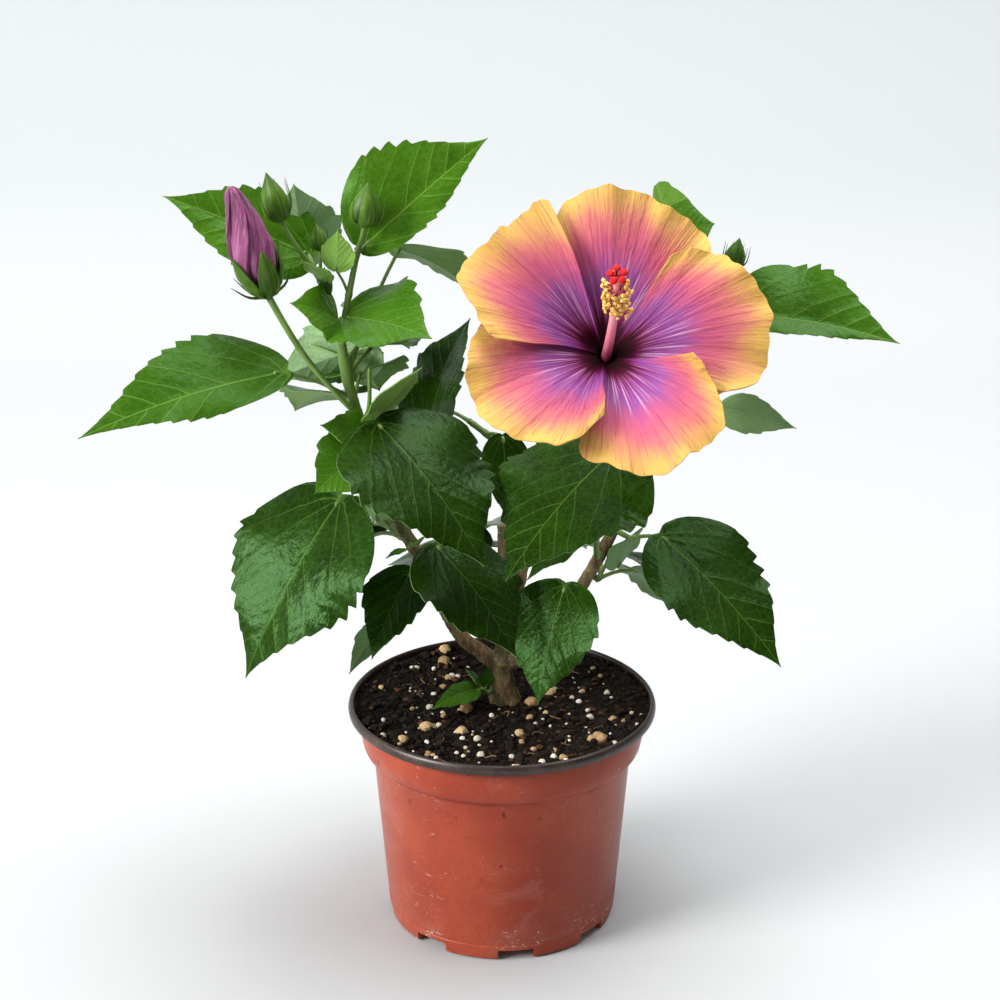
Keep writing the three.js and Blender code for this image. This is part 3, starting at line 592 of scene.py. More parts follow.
def midline(t, length, bend):
    turn = math.radians(bend)
    slope = turn * (0.5 - t)
    ahead = (math.sin(turn / 2) - np.sin(slope)) * length / turn
    above = (np.cos(slope) - math.cos(turn / 2)) * length / turn
    return ahead, above, slope


def blade_rows(length, chance):
    """Stations along a blade, and how far its left and right edges stand out at each."""
    teeth = int(np.clip(length / 8, 3, 9))
    stations = [0.004, 0.02, 0.045, 0.08, 0.12, 0.16, 0.2, 0.24]  # the foot has no teeth
    left, right = [0.0] * len(stations), [0.0] * len(stations)
    first, last = 0.27, 0.965
    for i in range(teeth):
        step = (last - first) / teeth
        size = TOOTH_DEPTH * (0.4 + 0.6 * math.sin(math.pi * (i + 0.7) / teeth))
        sizes = [size * (1 + 0.45 * math.sin(5.1 * i + 9 * chance + turn)) for turn in (0, 2.3)]
        for share, depth in ((0.0, -0.5), (0.3, -0.12), (0.6, 0.3), (0.86, 0.62), (0.95, -0.25)):
            stations.append(first + step * (i + share))
            left.append(sizes[0] * depth)
            right.append(sizes[1] * depth)
    ends = [0.0, 0.0, 0.0]
    return np.array([*stations, 0.97, 0.985, 0.997]), np.array([left + ends, right + ends])


def vein_gap(along, outward):
    """How far a point of the blade is from the nearest vein, in blade lengths."""
    gaps = [outward]
    for start, slant, curl in VEIN_LINES:
        line = start + slant * outward + curl * outward**2
        gaps.append(np.abs(along - line) / math.sqrt(1 + slant**2))
    return np.minimum.reduce(gaps)


def blade_part(shape, place, tone, chance):
    length, width, bend, fold, halves = shape
    rows, depths = blade_rows(length, chance)
    columns = BLADE_COLUMNS if length > 30 else 10
    across = np.linspace(-1, 1, columns + 1)
    t, u = np.meshgrid(rows, across, indexing="ij")
    depth = np.where(u < 0, depths[0][:, None], depths[1][:, None])
    half = np.maximum(half_width(rows) * width / 2, 0.12)[:, None]
    half = half * np.where(u < 0, halves[0], halves[1])
    side = u * half * (1 + depth * np.abs(u) ** 3)
    ahead, above, slope = midline(t, length, bend)
    wave = 0.08 * np.sin(8 * t + 6.3 * chance + 2 * np.sign(u))
    wave = wave + 0.05 * np.sin(15 * t + 11 * chance)
    lift = half * (fold * np.abs(u) + wave * u**2 - 0.1 * u**2)
    gap = vein_gap(t, np.abs(side) / length)
    puff = 0.0042 * length * (1 - np.exp(-((gap / 0.03) ** 2))) * (1 - u**4)
    lift = lift + puff * np.minimum(1, 6 * (1 - t)) * np.minimum(1, 8 * t)
    back = lobe(t, length) * np.minimum(1, np.abs(u) * 1.5)
    lean = 0.12 * np.maximum(depth, 0) * half * np.abs(u) ** 6
    layers = []
    for level in (LEAF_THICK / 2, -LEAF_THICK / 2):
        z = lift + level
        x = ahead + back + lean - z * np.sin(slope)
        layers.append(np.stack([x, side, above + z * np.cos(slope)], -1))
    rings = np.concatenate([layers[0], layers[1][:, ::-1]], 1)
    points, faces, _, _ = rings_part(place.put(rings))
    flat = np.stack([t, side / length], -1)
    flat = np.concatenate([flat, flat[:, ::-1]], 1)
    flat = np.concatenate([flat, flat[:, :1]], 1).reshape(-1, 2)
    uv = np.concatenate([flat, [[0, 0], [1, 0]]]) + [0, 0.5]
    # The upper layer takes the leaf's side number and the lower one at least 1; a 2 marks a pale
    # green that is painted light shining through the blade.
    underside_and_glow = np.repeat([tone[1], max(tone[1], 1.0)], columns + 1)
    underside_and_glow = np.concatenate([np.tile(np.append(underside_and_glow, 0.0), len(rows)), [0.5, 0.5]])
    colour = np.stack([underside_and_glow, np.full(len(points), tone[0]), np.full(len(points), chance)], -1)
    return points, faces, uv, colour


# %% [markdown]
# A twig thickens a little where each leaf stalk springs from it, and the stalk thickens again
# where it meets the blade. Flower buds are green cups with five ribs, ringed by thin bracts.

# %% Twigs, stalks and buds
TWIG_STEPS, STALK_STEPS = 26, 12
BRACT_COUNT = 7


def twig_part(limb, knots, young):
    t = np.linspace(0, 1, TWIG_STEPS + 1)
    points = limb.spread(TWIG_STEPS)
    radii = np.array([limb.radius(x) for x in t])
    swell = [0 * t] + [np.exp(-(((t - knot) / 0.035) ** 2)) for knot in knots]
    radii = radii * (1 + 0.22 * np.maximum.reduce(swell))
    radii[-1] *= 0.6
    return tube_part(points, radii, 9, (0, young, 0.5))


def stalk_part(line, size, young, chance):
    t = np.linspace(0, 1, STALK_STEPS + 1)
    swell = 0.5 * np.exp(-t / 0.05), 0.3 * np.exp(-(((t - 0.86) / 0.09) ** 2))
    radii = size * (1.0 - 0.35 * t + swell[0] + swell[1])
    radii[-1] = 0.25
    return tube_part(line.spread(STALK_STEPS), radii, 7, (0, young, chance))


def pod_part(length, width, place, tone, ribs=5, sides=20):
    """A closed bud: round at its foot and drawn to a point, with ribs."""
    profile = [(0, 0.18), (0.03, 0.5), (0.1, 0.82), (0.2, 0.97), (0.32, 1), (0.46, 0.95)]
    profile += [(0.6, 0.8), (0.74, 0.56), (0.86, 0.3), (0.95, 0.12), (1, 0.03)]
    turn = full_turn(sides)
    ridge = 1 + 0.08 * np.abs(np.cos(ribs * turn / 2)) + 0.03 * np.cos(ribs * turn)
    rings = [turned_about_x(turn, t * length, share * width / 2 * ridge) for t, share in profile]
    return rings_part(place.put(rings), tone=tone)


def bract_ring(corners, thick, tone, shift=0.0, put=np.asarray):
    """Thin bracts round the X axis. `corners` are the root, middle and tip of each: (x, out)."""
    parts, t = [], np.linspace(0, 1, 8)
    for i in range(BRACT_COUNT):
        angle = 2 * math.pi * (i + shift) / BRACT_COUNT
        line = Curve([put(turned_about_x(angle, x, out)) for x, out in corners(i)])
        parts.append(tube_part(line.spread(7), thick * (1 - 0.85 * t**1.5), 6, tone))
    return parts


# %% [markdown]
# A shoot collects the twigs, leaves and buds of one mass. Its `spray` is the seeded rule: leaves
# take turns to the left and right of a twig, and any that would leave the room of its mass, or
# touch a neighbour, is left out.

# %% Shoots
SPRAY_START = 0.3  # share of a twig before its first leaf
taken = []  # sample points of every leaf and limb so far
BLADE_SIDES = np.array([-1, -0.5, 0, 0.5, 1])


def blade_samples(shape, place):
    length, width, bend, fold = shape
    t = np.linspace(0, 1, 7)[:, None]
    ahead, above, _ = midline(t, length, bend)
    half = half_width(np.abs(t)) * width / 2
    spots = np.stack(
        [ahead + 0 * BLADE_SIDES, BLADE_SIDES * half, above + fold * np.abs(BLADE_SIDES) * half], -1
    )
    return place.put(spots.reshape(-1, 3))


class Shoot:
    def __init__(self, mass, young=0.0):
        self.mass, self.young = mass, young
        self.twigs, self.leaves, self.buds = [], [], []
        self.samples = []
        self.chance = dice(len(mass) * 7919 + ord(mass[-1]))

    def stem(self, limb):
        self.twigs.append(limb)
        self.samples.append(limb.spread(8))
        return limb

    def twig(self, points, thick, thin):
        return self.stem(Limb(points, thick, thin))

    # pale: 1 shows the blade's under side on top, and 2 a paler green as painted light shining
    # through it.
    def leaf(
        self, limb, at, stalk, aim, wide=LEAF_SHAPE, roll=0, bend=LEAF_BEND, fold=LEAF_FOLD,
        young=None, pale=0, drawn=(1, 1, 0, 1),
    ):
        """`drawn`: shares of the blade's two halves, some more roll, and share of its length."""
        foot = limb.at(at)
        root = foot + direction(*stalk[:2]) * stalk[2]
        place = Place(root, *aim[:2], roll)
        length = aim[2]
        shape = (length, length * wide, bend, fold)
        sunk = place.put((min(3, length * 0.1), 0, length * 0.01))
        middle = (foot + root) / 2 + vec(0, 0, stalk[2] * 0.06)
        line = Curve([foot, middle, root, sunk])
        tone = (self.young if young is None else young, pale)
        shown = (length * drawn[3], length * wide, bend, fold, drawn[:2])
        stand = Place(root, *aim[:2], roll + drawn[2])
        size = min(STALK_RADIUS, 0.35 + length * 0.016)
        self.leaves.append((limb, at, line, size, shown, stand, tone))
        self.samples.append(blade_samples(shape, place))

    def spray(self, limb, room, count, toward, spread, length, rise, droop, seed):
        roll = dice(seed)
        low, high = np.array(room[0]), np.array(room[1])
        for i in range(count):
            share = (i + 0.5) / count
            side = 1 if i % 2 else -1
            heading = toward + side * spread * roll()
            size = length * (1.05 - 0.3 * share)
            lift = rise + 40 * (roll() - 0.5)
            fall = droop + 30 * (roll() - 0.5)
            lean = 30 * (roll() - 0.5)
            at = SPRAY_START + (1 - SPRAY_START) * share
            self.leaf(limb, at, (heading, lift, size * 0.35), (heading, fall, size), roll=lean)
            fresh, own = self.samples[-1], np.concatenate(self.samples[:-1])
            inside = ((fresh >= low) & (fresh <= high)).all()
            far = nearest(fresh, np.concatenate(taken)) > CLEAR and nearest(fresh, own) > CLEAR / 2
            if not (inside and far):
                self.leaves.pop()
                self.samples.pop()

    def bud(self, limb, at, stalk, aim, width):
        foot = limb.at(at)
        root = foot + direction(*stalk[:2]) * stalk[2]
        middle = (foot + root) / 2 - vec(0, 0, stalk[2] * 0.04)
        place = Place(root, *aim[:2])
        line = Curve([foot, middle, root, place.put((2.5, 0, 0))])
        self.buds.append((limb, at, line, aim[2], width, place))
        self.samples.append(np.array([root, place.put((aim[2], 0, 0))]))

    def knots(self, limb):
        return [leaf[1] for leaf in self.leaves + self.buds if leaf[0] is limb]

    def done(self):
        taken.extend(self.samples)
        grown.append(self)


def nearest(spots, others):
    return np.sqrt(((spots[:, None] - others[None]) ** 2).sum(-1).min())


grown = []

# %% [markdown]
# ## Where the bloom stands
#
# The bloom is placed first, because leaves keep out of its way. Its own X axis looks out of the
# throat. Each of its five petals is a fan: `across` runs from one side to the other, and `out`
# from the throat to the rim.

# %% The bloom's frame and its petals' shape
BLOOM_RADIUS, BLOOM_DEPTH = 61, 26
PETAL_TURNS = (8, 78, 151, 237, 308)

bloom_place = Place((40, -32, 257), 274, 38)


def petal_rise(radius, across, out, turn):
    bowl = BLOOM_DEPTH * (1 - (1 - radius / BLOOM_RADIUS) ** 2)
    return bowl - 0.09 * across * radius + 2.4 * out**3 * np.sin(5.2 * across + turn)


def petal_fan(out):
    """Half the angle that a petal spans, in degrees."""
    return 40 + 8 * np.minimum(1, out * 1.6)


def petal_points(turn, across, out):
    reach = BLOOM_RADIUS * (1 - 0.3 * np.abs(across) ** 3 - 0.025 * np.cos(9 * across + turn))
    radius = 4 + (reach - 4) * out
    angle = np.radians(turn + across * petal_fan(out))
    rise = petal_rise(radius, across, out, turn)
    return np.stack([rise, radius * np.sin(angle), radius * np.cos(angle)], -1)


def bloom_samples():
    across, out = np.meshgrid(BLADE_SIDES, [0.2, 0.4, 0.6, 0.8, 1.0])
    rows = [petal_points(turn, across, out).reshape(-1, 3) for turn in PETAL_TURNS]
    return bloom_place.put(np.concatenate(rows))


column_line = Curve([(-10, 0, 0), (20, -0.4, 0), (45, -1, 2.5), (62, -2, 7)])
root, out = bough_right.beside(0.93, 225, 10)
back = bloom_place.put((-25, 0, 0))
halfway = (root + back) / 2 + vec(1, 3, -3)
pedicel_line = Curve([root, out, halfway, back, bloom_place.put((-21, 0, 0))])

bud_place = Place((-91, -14, 277), 198, 73)
root, out = left_leader.beside(0.47, 250, 10)
back = bud_place.put((-1, 0, 0))
halfway = (out + back) / 2 + vec(-1.5, 0, -2)
bud_stalk = Curve([root, out, halfway, back, bud_place.put((4, 0, 0))])
print("the throat of the bloom is at", bloom_place.put((0, 0, 0)).round(1))

# %% What the shoots have to keep clear of
taken += [limb.spread(24) for limb in boughs]
taken += [bloom_samples(), pedicel_line.spread(12), bud_stalk.spread(12)]
print(sum(map(len, taken)), "points to keep clear of")

# %% [markdown]
# ## The shoots
#
# Now every mass grows: those in front first, because they are placed one by one, then the masses
# behind them by the rule. A leaf's two triples are heading, rise and length, first of its stalk
# and then of its blade.

# %% The big leaf in front of the left bough
shoot = Shoot("left_front")
stem = shoot.twig([*bough_left.beside(0.93, 285, 15), (-53, -7, 216)], 1.3, 1.1)
shoot.leaf(stem, 0.93, (288, 40, 17), (321, -41, 72), wide=0.98, roll=6, fold=0.12)
shoot.leaf(
    stem, 1, (330, 60, 8), (322, 50, 36), wide=0.6, bend=12, young=0.9, drawn=(1.2, 1.2, 0, 1)
)
shoot.leaf(
    stem, 0.85, (230, 45, 5), (218, 26, 24), wide=0.6, young=0.75, drawn=(1.3, 1.3, -55, 1)
)
shoot.leaf(
    stem, 0.75, (235, 15, 6), (215, -30, 34), wide=0.85, roll=-25, young=0.5,
    drawn=(1, 1, -15, 0.8),
)
shoot.done()

# %% The leaf low on the left
shoot = Shoot("left_low")
stem = shoot.twig([*bough_left.beside(0.76, 205, 10), (-59, -4, 189)], 1.3, 1.1)
shoot.leaf(stem, 1, (222, 8, 9), (213, -56, 82), wide=0.82, roll=-20, fold=0.14)
shoot.done()

# %% A sprig half way up the left bough
shoot = Shoot("left_sprig", young=0.75)
stem = shoot.twig(bough_left.beside(0.56, 270, 10), 0.9, 0.8)
shoot.leaf(stem, 0.9, (210, -20, 3), (205, -15, 9), wide=0.5)
shoot.leaf(stem, 0.9, (320, 20, 3), (320, 40, 11), wide=0.6)
shoot.done()

# %% The leaves at the middle
shoot = Shoot("middle_front")
stem = shoot.twig([*bough_left.beside(0.42, 275, 20), (-29, -8, 155)], 1.5, 1.2)
shoot.leaf(stem, 0.93, (285, 62, 21), (322, -43, 56), wide=0.95, roll=4, fold=0.12)
shoot.leaf(stem, 0.8, (190, 30, 10), (231, -50, 40), wide=0.74, roll=-6)
shoot.leaf(stem, 0.5, (195, -35, 26), (190, -55, 27), wide=0.5, roll=75)
shoot.done()

# %% The broad leaf under the bloom
shoot = Shoot("front_right")
root = bough_right.beside(0.42, 250, 20)
stem = shoot.twig([*root, (38.5, -4, 184), (40, -10, 198)], 1.5, 1.1)
shoot.leaf(stem, 1, (295, 58, 19), (220, -36, 70), wide=1.02, roll=-6, fold=0.12)
shoot.leaf(stem, 0.5, (215, 0, 9), (208, -30, 28), wide=0.7)
shoot.done()

# %% The leaf that hangs before the trunk
shoot = Shoot("foot")
stem = shoot.twig([*bough_right.beside(0.15, 275, 15), (22, -6, 146)], 1.5, 1.2)
shoot.leaf(stem, 1, (300, 45, 11), (243, -60, 50), wide=0.86, roll=6, fold=0.14)
shoot.leaf(stem, 0.6, (205, 50, 20), (317, -26, 14), wide=0.8)
shoot.done()

# %% The sprout at the trunk's foot
shoot = Shoot("basal", young=0.3)
stem = shoot.twig([*trunk_stem.beside(0.3, 216, 20), [-9, 1, GROUND + 8]], 1.3, 0.9)
shoot.leaf(
    stem, 0.9, (225, 10, 3), (208, -12, 27), wide=0.5, roll=-35, bend=60, drawn=(0.8, 0.8, 0, 0.85)
)
shoot.leaf(stem, 0.9, (150, 50, 2), (170, 50, 9), wide=0.8)
shoot.leaf(stem, 0.7, (60, 40, 3), (95, 60, 8), wide=0.8)
shoot.done()

# %% The leaf low on the right
shoot = Shoot("right_low")
stem = shoot.twig([*bough_right.beside(0.55, 325, 5), (53, 3, 169)], 1.3, 1.1)
shoot.leaf(
    stem, 1, (325, 13, 16), (330, -40, 74), wide=0.8, roll=25, fold=0.14, drawn=(0.8, 0.9, 0, 0.97)
)
shoot.done()

# %% The crown on the left, with its buds
shoot = Shoot("left_crown", young=0.5)
leader = shoot.stem(left_leader)
left_twig = shoot.twig([(-64.5, -1, 259), (-69, 0, 271), (-74, 2, 284)], 1.5, 1.1)
right_twig = shoot.twig([(-64, -1, 256), (-60.5, -2, 274), (-56.5, -2, 292)], 1.5, 1.1)
shoot.twig([(-57.5, 0, 219), (-53.5, -3, 228), (-53, -2.5, 244)], 0.9, 0.8)
shoot.leaf(
    leader, 0.48, (204, 26, 33), (199, -13, 84), wide=0.6, roll=-35, fold=0.14,
    young=0.3, drawn=(1, 0.5, 0, 1),
)
# pale=2: this blade is painted paler, as painted light shining through it.
shoot.leaf(
    leader, 0.6, (60, 25, 20), (169, -22, 45), wide=0.7, roll=65, pale=2, drawn=(1.15, 1.15, 0, 1)
)
shoot.leaf(leader, 0.62, (46, 57, 55), (35, -34, 52), wide=0.62, roll=-15)
shoot.leaf(
    leader, 0.98, (250, 40, 4), (230, 27, 28), wide=0.66, young=0.8, drawn=(1.3, 1.3, -60, 1)
)
shoot.leaf(
    leader, 0.98, (320, 48, 5), (325, -2, 47), wide=0.85, roll=25, young=0.45,
    drawn=(1, 1.2, 0, 0.93),
)
shoot.leaf(
    right_twig, 0.5, (229, 60, 13), (285, 74, 18), wide=0.62, bend=10, young=1,
    drawn=(1.3, 1.3, -30, 1),
)
shoot.leaf(left_twig, 0.5, (245, 70, 9), (228, 43, 16), wide=0.9, young=1)
shoot.leaf(left_twig, 0.8, (116, 35, 14), (186, 24, 62), wide=0.6, roll=-55, bend=12)
# pale=2: this blade is painted paler, as painted light shining through it.
shoot.leaf(
    left_twig, 0.8, (108, 8, 20), (248, 73, 38), wide=0.6, bend=14, pale=2,
    drawn=(1.5, 1.5, 40, 0.95),
)
shoot.leaf(
    right_twig, 0.95, (53, 28, 6), (21, 37, 65), wide=0.7, roll=55, bend=14,
    drawn=(0.5, 1.15, 0, 1),
)
shoot.bud(left_twig, 0.9, (195, 58, 26), (180, 75, 20), 10.5)
shoot.bud(left_twig, 0.8, (87, 70, 12), (132, 75, 11), 6.5)
shoot.bud(leader, 0.98, (193, 72, 13), (180, 85, 12), 3.6)
shoot.bud(right_twig, 1, (340, 73, 10), (333, 83, 18), 12)
room = [(-105, 4, 205), (-25, 80, 268)]
shoot.spray(leader, room, 12, toward=95, spread=60, length=52, rise=15, droop=-20, seed=21)
shoot.done()

# %% The crown on the right
shoot = Shoot("right_crown")
leader = shoot.stem(right_leader)
shoot.leaf(
    leader, 0.72, (333, 35, 33), (344, -6, 66), wide=0.62, roll=38, young=0.4,
    drawn=(0.4, 1.3, 0, 1),
)
shoot.leaf(
    leader, 0.95, (193, 66, 27), (350, 24, 38), wide=0.72, roll=45, young=0.35,
    drawn=(1.8, 1.8, 0, 0.64),
)
shoot.leaf(
    leader, 0.5, (346, -5, 25), (337, -8, 34), wide=0.6, roll=60, bend=40, pale=1,
    drawn=(0.8, 0.8, 0, 0.95),
)
shoot.bud(leader, 1, (3, 28, 21), (0, 79, 13), 8)
room = [(30, 14, 214), (104, 92, 282)]
shoot.spray(leader, room, 26, toward=90, spread=90, length=58, rise=5, droop=-22, seed=4)
shoot.done()

# %% Inside the left of the bush
shoot = Shoot("left_inner")
stem = shoot.twig([*bough_left.beside(0.85, 50, 10), (-40, 14, 208)], 1.5, 1.1)
shoot.leaf(stem, 0.9, (24, 25, 14), (51, 57, 50), wide=0.72, roll=-20, drawn=(1.2, 1.35, 0, 1))
room = [(-95, 8, 160), (-6, 78, 228)]
shoot.spray(stem, room, 14, toward=95, spread=75, length=60, rise=5, droop=-28, seed=33)
shoot.done()

# %% Behind the left bough
shoot = Shoot("left_behind")
stem = shoot.twig([*bough_left.beside(0.58, 140, 10), (-50, 16, 173)], 1.4, 1.1)
shoot.leaf(stem, 0.9, (150, -5, 4), (222, 65, 30), wide=0.72)
room = [(-98, 10, 116), (-38, 80, 178)]
shoot.spray(stem, room, 14, toward=130, spread=75, length=58, rise=0, droop=-30, seed=8)
shoot.done()

# %% Under the right bough
shoot = Shoot("right_under")
stem = shoot.twig([*bough_right.beside(0.33, 25, 0), (42, 16, 151)], 1.4, 1.1)
shoot.leaf(stem, 1, (350, 5, 7), (322, 58, 26), wide=0.85, pale=1)
room = [(22, 12, 102), (108, 82, 157)]
shoot.spray(stem, room, 14, toward=60, spread=75, length=58, rise=0, droop=-28, seed=12)
shoot.done()

# %% Back left
shoot = Shoot("back_left")
root = bough_back.beside(0.8, 165, 20)
stem = shoot.twig([*root, (-2, 44, 196), (-14, 46, 206)], 1.9, 1.3)
shoot.leaf(stem, 0.8, (300, 10, 14), (286, -78, 36), wide=0.6)
room = [(-62, 22, 176), (12, 112, 262)]
shoot.spray(stem, room, 30, toward=120, spread=110, length=58, rise=10, droop=-24, seed=17)
shoot.done()

# %% Back right
shoot = Shoot("back_right")
root = bough_back.beside(0.62, 20, 15)
stem = shoot.twig([*root, (34, 44, 184), (50, 48, 192)], 1.8, 1.2)
room = [(14, 24, 158), (86, 116, 208)]
shoot.spray(stem, room, 26, toward=60, spread=90, length=60, rise=0, droop=-26, seed=29)
shoot.done()

# %% High at the back
shoot = Shoot("back_high")
stem = shoot.twig([*bough_back.beyond(), (20, 46, 220), (24, 44, 246)], 1.8, 1.1)
room = [(-22, 18, 200), (66, 104, 284)]
shoot.spray(stem, room, 30, toward=100, spread=160, length=52, rise=15, droop=-18, seed=41)
shoot.done()

# %% Low at the back
shoot = Shoot("back_low")
stem = shoot.twig([*bough_back.beside(0.4, 110, 10), (6, 48, 162)], 1.7, 1.2)
room = [(-52, 30, 116), (58, 112, 178)]
shoot.spray(stem, room, 18, toward=90, spread=95, length=60, rise=0, droop=-30, seed=52)
shoot.done()

# %% [markdown]
# ## What a leaf is made of
#
# The upper side of a hibiscus leaf is deep green and glossy, and its veins are paler and lie a
# little sunken. The under side is dull and grey-green, and its veins stand out. The vein pattern
# is one node group, used by both sides: it takes the blade's UV map and gives a mask of the
# veins, a fine net between them, and a height for bump.

# %% The vein pattern
desk["tree"] = group = bpy.data.node_groups.new("leaf_veins", "ShaderNodeTree")
group.interface.new_socket("UV", in_out="INPUT", socket_type="NodeSocketVector")
for name in ("Veins", "Net", "Height"):
    group.interface.new_socket(name, in_out="OUTPUT", socket_type="NodeSocketFloat")
uv = group.nodes.new("NodeGroupInput").outputs["UV"]
gives = group.nodes.new("NodeGroupOutput").inputs
along, across, _ = split(uv)
across = calc("SUBTRACT", across, 0.5)
outward = calc("ABSOLUTE", across)
left = calc("GREATER_THAN", across, 0.0)
wobble = calc("SUBTRACT", cloud(uv, 7.0, 2.0), 0.5)
bent = times(wobble, 0.05, along)
width = times(outward, -0.009, 0.0048)
veins, nearest_vein = 0.0, outward
for start, slant, curl in VEIN_LINES:
    lead = times(times(outward, curl, slant), outward, start)
    if start:
        lead = times(left, 0.05, lead)
    gap = calc("ABSOLUTE", calc("SUBTRACT", bent, lead))
    gap = times(gap, 1 / math.sqrt(1 + (slant + curl * 0.3) ** 2))
    line = between(calc("DIVIDE", gap, width), 1.0, 0.35)
    veins = calc("MAXIMUM", veins, times(line, 0.65))
    nearest_vein = calc("MINIMUM", nearest_vein, gap)
midrib_width = times(along, -0.006, 0.0085)
midrib = between(calc("DIVIDE", outward, midrib_width), 1.0, 0.4)
veins = calc("MAXIMUM", veins, midrib)

net = cells(stretch(uv, (22, 26, 1)), 1.0, "DISTANCE_TO_EDGE")["Distance"]
net = between(net, 0.16, 0.0)
crinkle = cloud(stretch(uv, (26, 30, 1)), 1.0, 2.0)
pillow = times(between(nearest_vein, 0.0, 0.03), 0.45)
height = times(veins, -0.3, pillow)
height = times(crinkle, 1.1, height)
for value, name in ((veins, "Veins"), (net, "Net"), (height, "Height")):
    group.links.new(value, gives[name])
leaf_veins = group
print("leaf_veins has", len(group.nodes), "nodes")

# %% [markdown]
# The leaf's own material mixes three greens by the `tone` of each point: deep green for old
# leaves, yellow-green for young ones, grey-green for the under side. That grey-green is set light,
# partly the under side's own colour and partly painted light shining through the blade, and a
# side number of 2 lays a paler green over it as more painted light through the blade. Each
# blade's chance number makes it a little lighter or darker than the next.

# %% Leaf material
leaf_skin = new_material(
    "leaf_skin", Roughness=0.3, Specular_IOR_Level=0.13, Specular_Tint=(0.45, 1, 0.38, 1)
)
underside_and_glow, young, chance = tones()
leaf_uv = {"UV": uv_map()}
veins = add_node("ShaderNodeGroup", leaf_uv, node_tree=leaf_veins).outputs
blotch = cloud(own_place(), 60.0, 3.0)

old_green = steps(blotch, (0.3, (0.005, 0.016, 0.0007)), (0.7, (0.011, 0.035, 0.0009)))
young_green = steps(blotch, (0.3, (0.05, 0.165, 0.005)), (0.7, (0.082, 0.225, 0.01)))
top = blend_colours(young, old_green, young_green)
lighter = blend_colours(0.2, top, (0.04, 0.13, 0.01))
top = tint(top, lighter, chance, 0.3)
vein_green = blend_colours(young, (0.075, 0.16, 0.022), (0.22, 0.38, 0.06))
top = tint(top, vein_green, veins["Veins"], 0.6)
top = tint(top, vein_green, veins["Net"], 0.1)

# Under side: grey-green, set light, partly its own colour and partly painted light shining through
# the blade.
below = steps(blotch, (0.3, (0.12, 0.22, 0.08)), (0.7, (0.18, 0.3, 0.125)))
below = tint(below, (0.2, 0.37, 0.05), young, 0.8)
# Painted light: where the side number is 2, a pale green stands in for light shining through the
# blade.
below = tint(below, (0.4, 0.6, 0.33), between(underside_and_glow, 1.0, 2.0), 0.75)
below = tint(below, (0.26, 0.38, 0.16), veins["Veins"], 0.6)
below = tint(below, (0.2, 0.31, 0.12), veins["Net"], 0.2)
side = between(underside_and_glow, 0.4, 0.6)
skin = blend_colours(side, top, below)
matt = times(side, 0.28, times(blotch, 0.22, 0.16))
coat(skin, veins["Height"], 0.00036, 0.7, matt)

# %% Stem and bud materials
green_stem = new_material("green_stem", Roughness=0.45)
_, young, chance = tones()
grain = cloud(stretch(own_place(), (260, 260, 60)), 1.0, 5.0)
stem = steps(grain, (0.3, (0.05, 0.095, 0.018)), (0.7, (0.1, 0.17, 0.03)))
fresh = steps(grain, (0.3, (0.11, 0.21, 0.03)), (0.7, (0.19, 0.31, 0.06)))
freshness = times(young, 0.7, times(chance, 0.4))
stem = blend_colours(freshness, stem, fresh)
coat(stem, grain, 0.0002, 0.6)

green_bud = new_material("green_bud", Roughness=0.42, Specular_IOR_Level=0.2)
streak = cloud(stretch(own_place(), (300, 300, 90)), 1.0, 4.0)
around, _, _ = split(uv_map())
cup_green = steps(streak, (0.3, (0.03, 0.08, 0.006)), (0.7, (0.085, 0.175, 0.015)))
# Painted shade: the grooves between the five ribs are painted darker green.
groove = calc("ABSOLUTE", calc("COSINE", times(around, 5 * math.pi)))
groove = between(groove, 0.28, 0.0)
cup_green = tint(cup_green, (0.012, 0.04, 0.006), groove, 0.75)
coat(cup_green, streak, 0.0002, 0.5)

# %% [markdown]
# Each mass becomes up to three pieces: its leaves, its stems and its buds. They take the place
# of one plain solid of the frame between them.

# %% Pieces of each mass
def bud_parts(length, width, place):
    tone = (0, 0.5, 0.5)
    corners = (0.3, width * 0.12), (length * 0.25, width * 0.6), (length * 0.8, width * 0.66)
    bracts = bract_ring(lambda i: corners, 0.45, tone, 0.3, place.put)
    return [pod_part(length, width, place, tone), *bracts]


def dress_mass(shoot):
    node = "foliage_" + shoot.mass
    slot = "leaf_young" if shoot.young else "leaf_green"
    blades, stems, buds = [], [], []
    for _, _, line, size, shape, place, tone in shoot.leaves:
        chance = shoot.chance()
        blades.append(blade_part(shape, place, tone, chance))
        stems.append(stalk_part(line, size, max(0.4, tone[0]), chance))
    for _, _, line, length, width, place in shoot.buds:
        stems.append(stalk_part(line, 0.5 + width * 0.055, 0.6, 0.5))
        buds += bud_parts(length, width, place)
    for limb in shoot.twigs:
        stems.append(twig_part(limb, shoot.knots(limb), 0.3 + 0.7 * shoot.young))
    kinds = {"leaves": (blades, leaf_skin, 60), "stems": (stems, green_stem, 50)}
    if buds:
        kinds["buds"] = (buds, green_bud, 50)
    for kind, (parts, material, crease) in kinds.items():
        build_piece(f"{kind}_{shoot.mass}", parts, material, slot, [node], crease)


for shoot in grown:
    dress_mass(shoot)
print(sum(len(shoot.leaves) for shoot in grown), "leaves")

# %% [markdown]
# ## Wood
#
# The old wood is rough and grey-brown, dotted with small corky spots, and the upper part of the
# left bough is still green. Tubes alone would meet at the fork in sharp creases, so the tubes
# are fused with a voxel remesh and smoothed, and then the bark's relief is laid on top with
# noise. Each point moves along its own normal.

# %% Tubes for the trunk and boughs
BARK_VOXEL = 0.0006


def limb_tube(limb, sides=16):
    count = int(np.linalg.norm(np.diff(limb.points, axis=0), axis=1).sum() / 2)
    radii = np.array([limb.radius(i / count) for i in range(count + 1)])
    return tube_part(limb.spread(count), radii, sides)


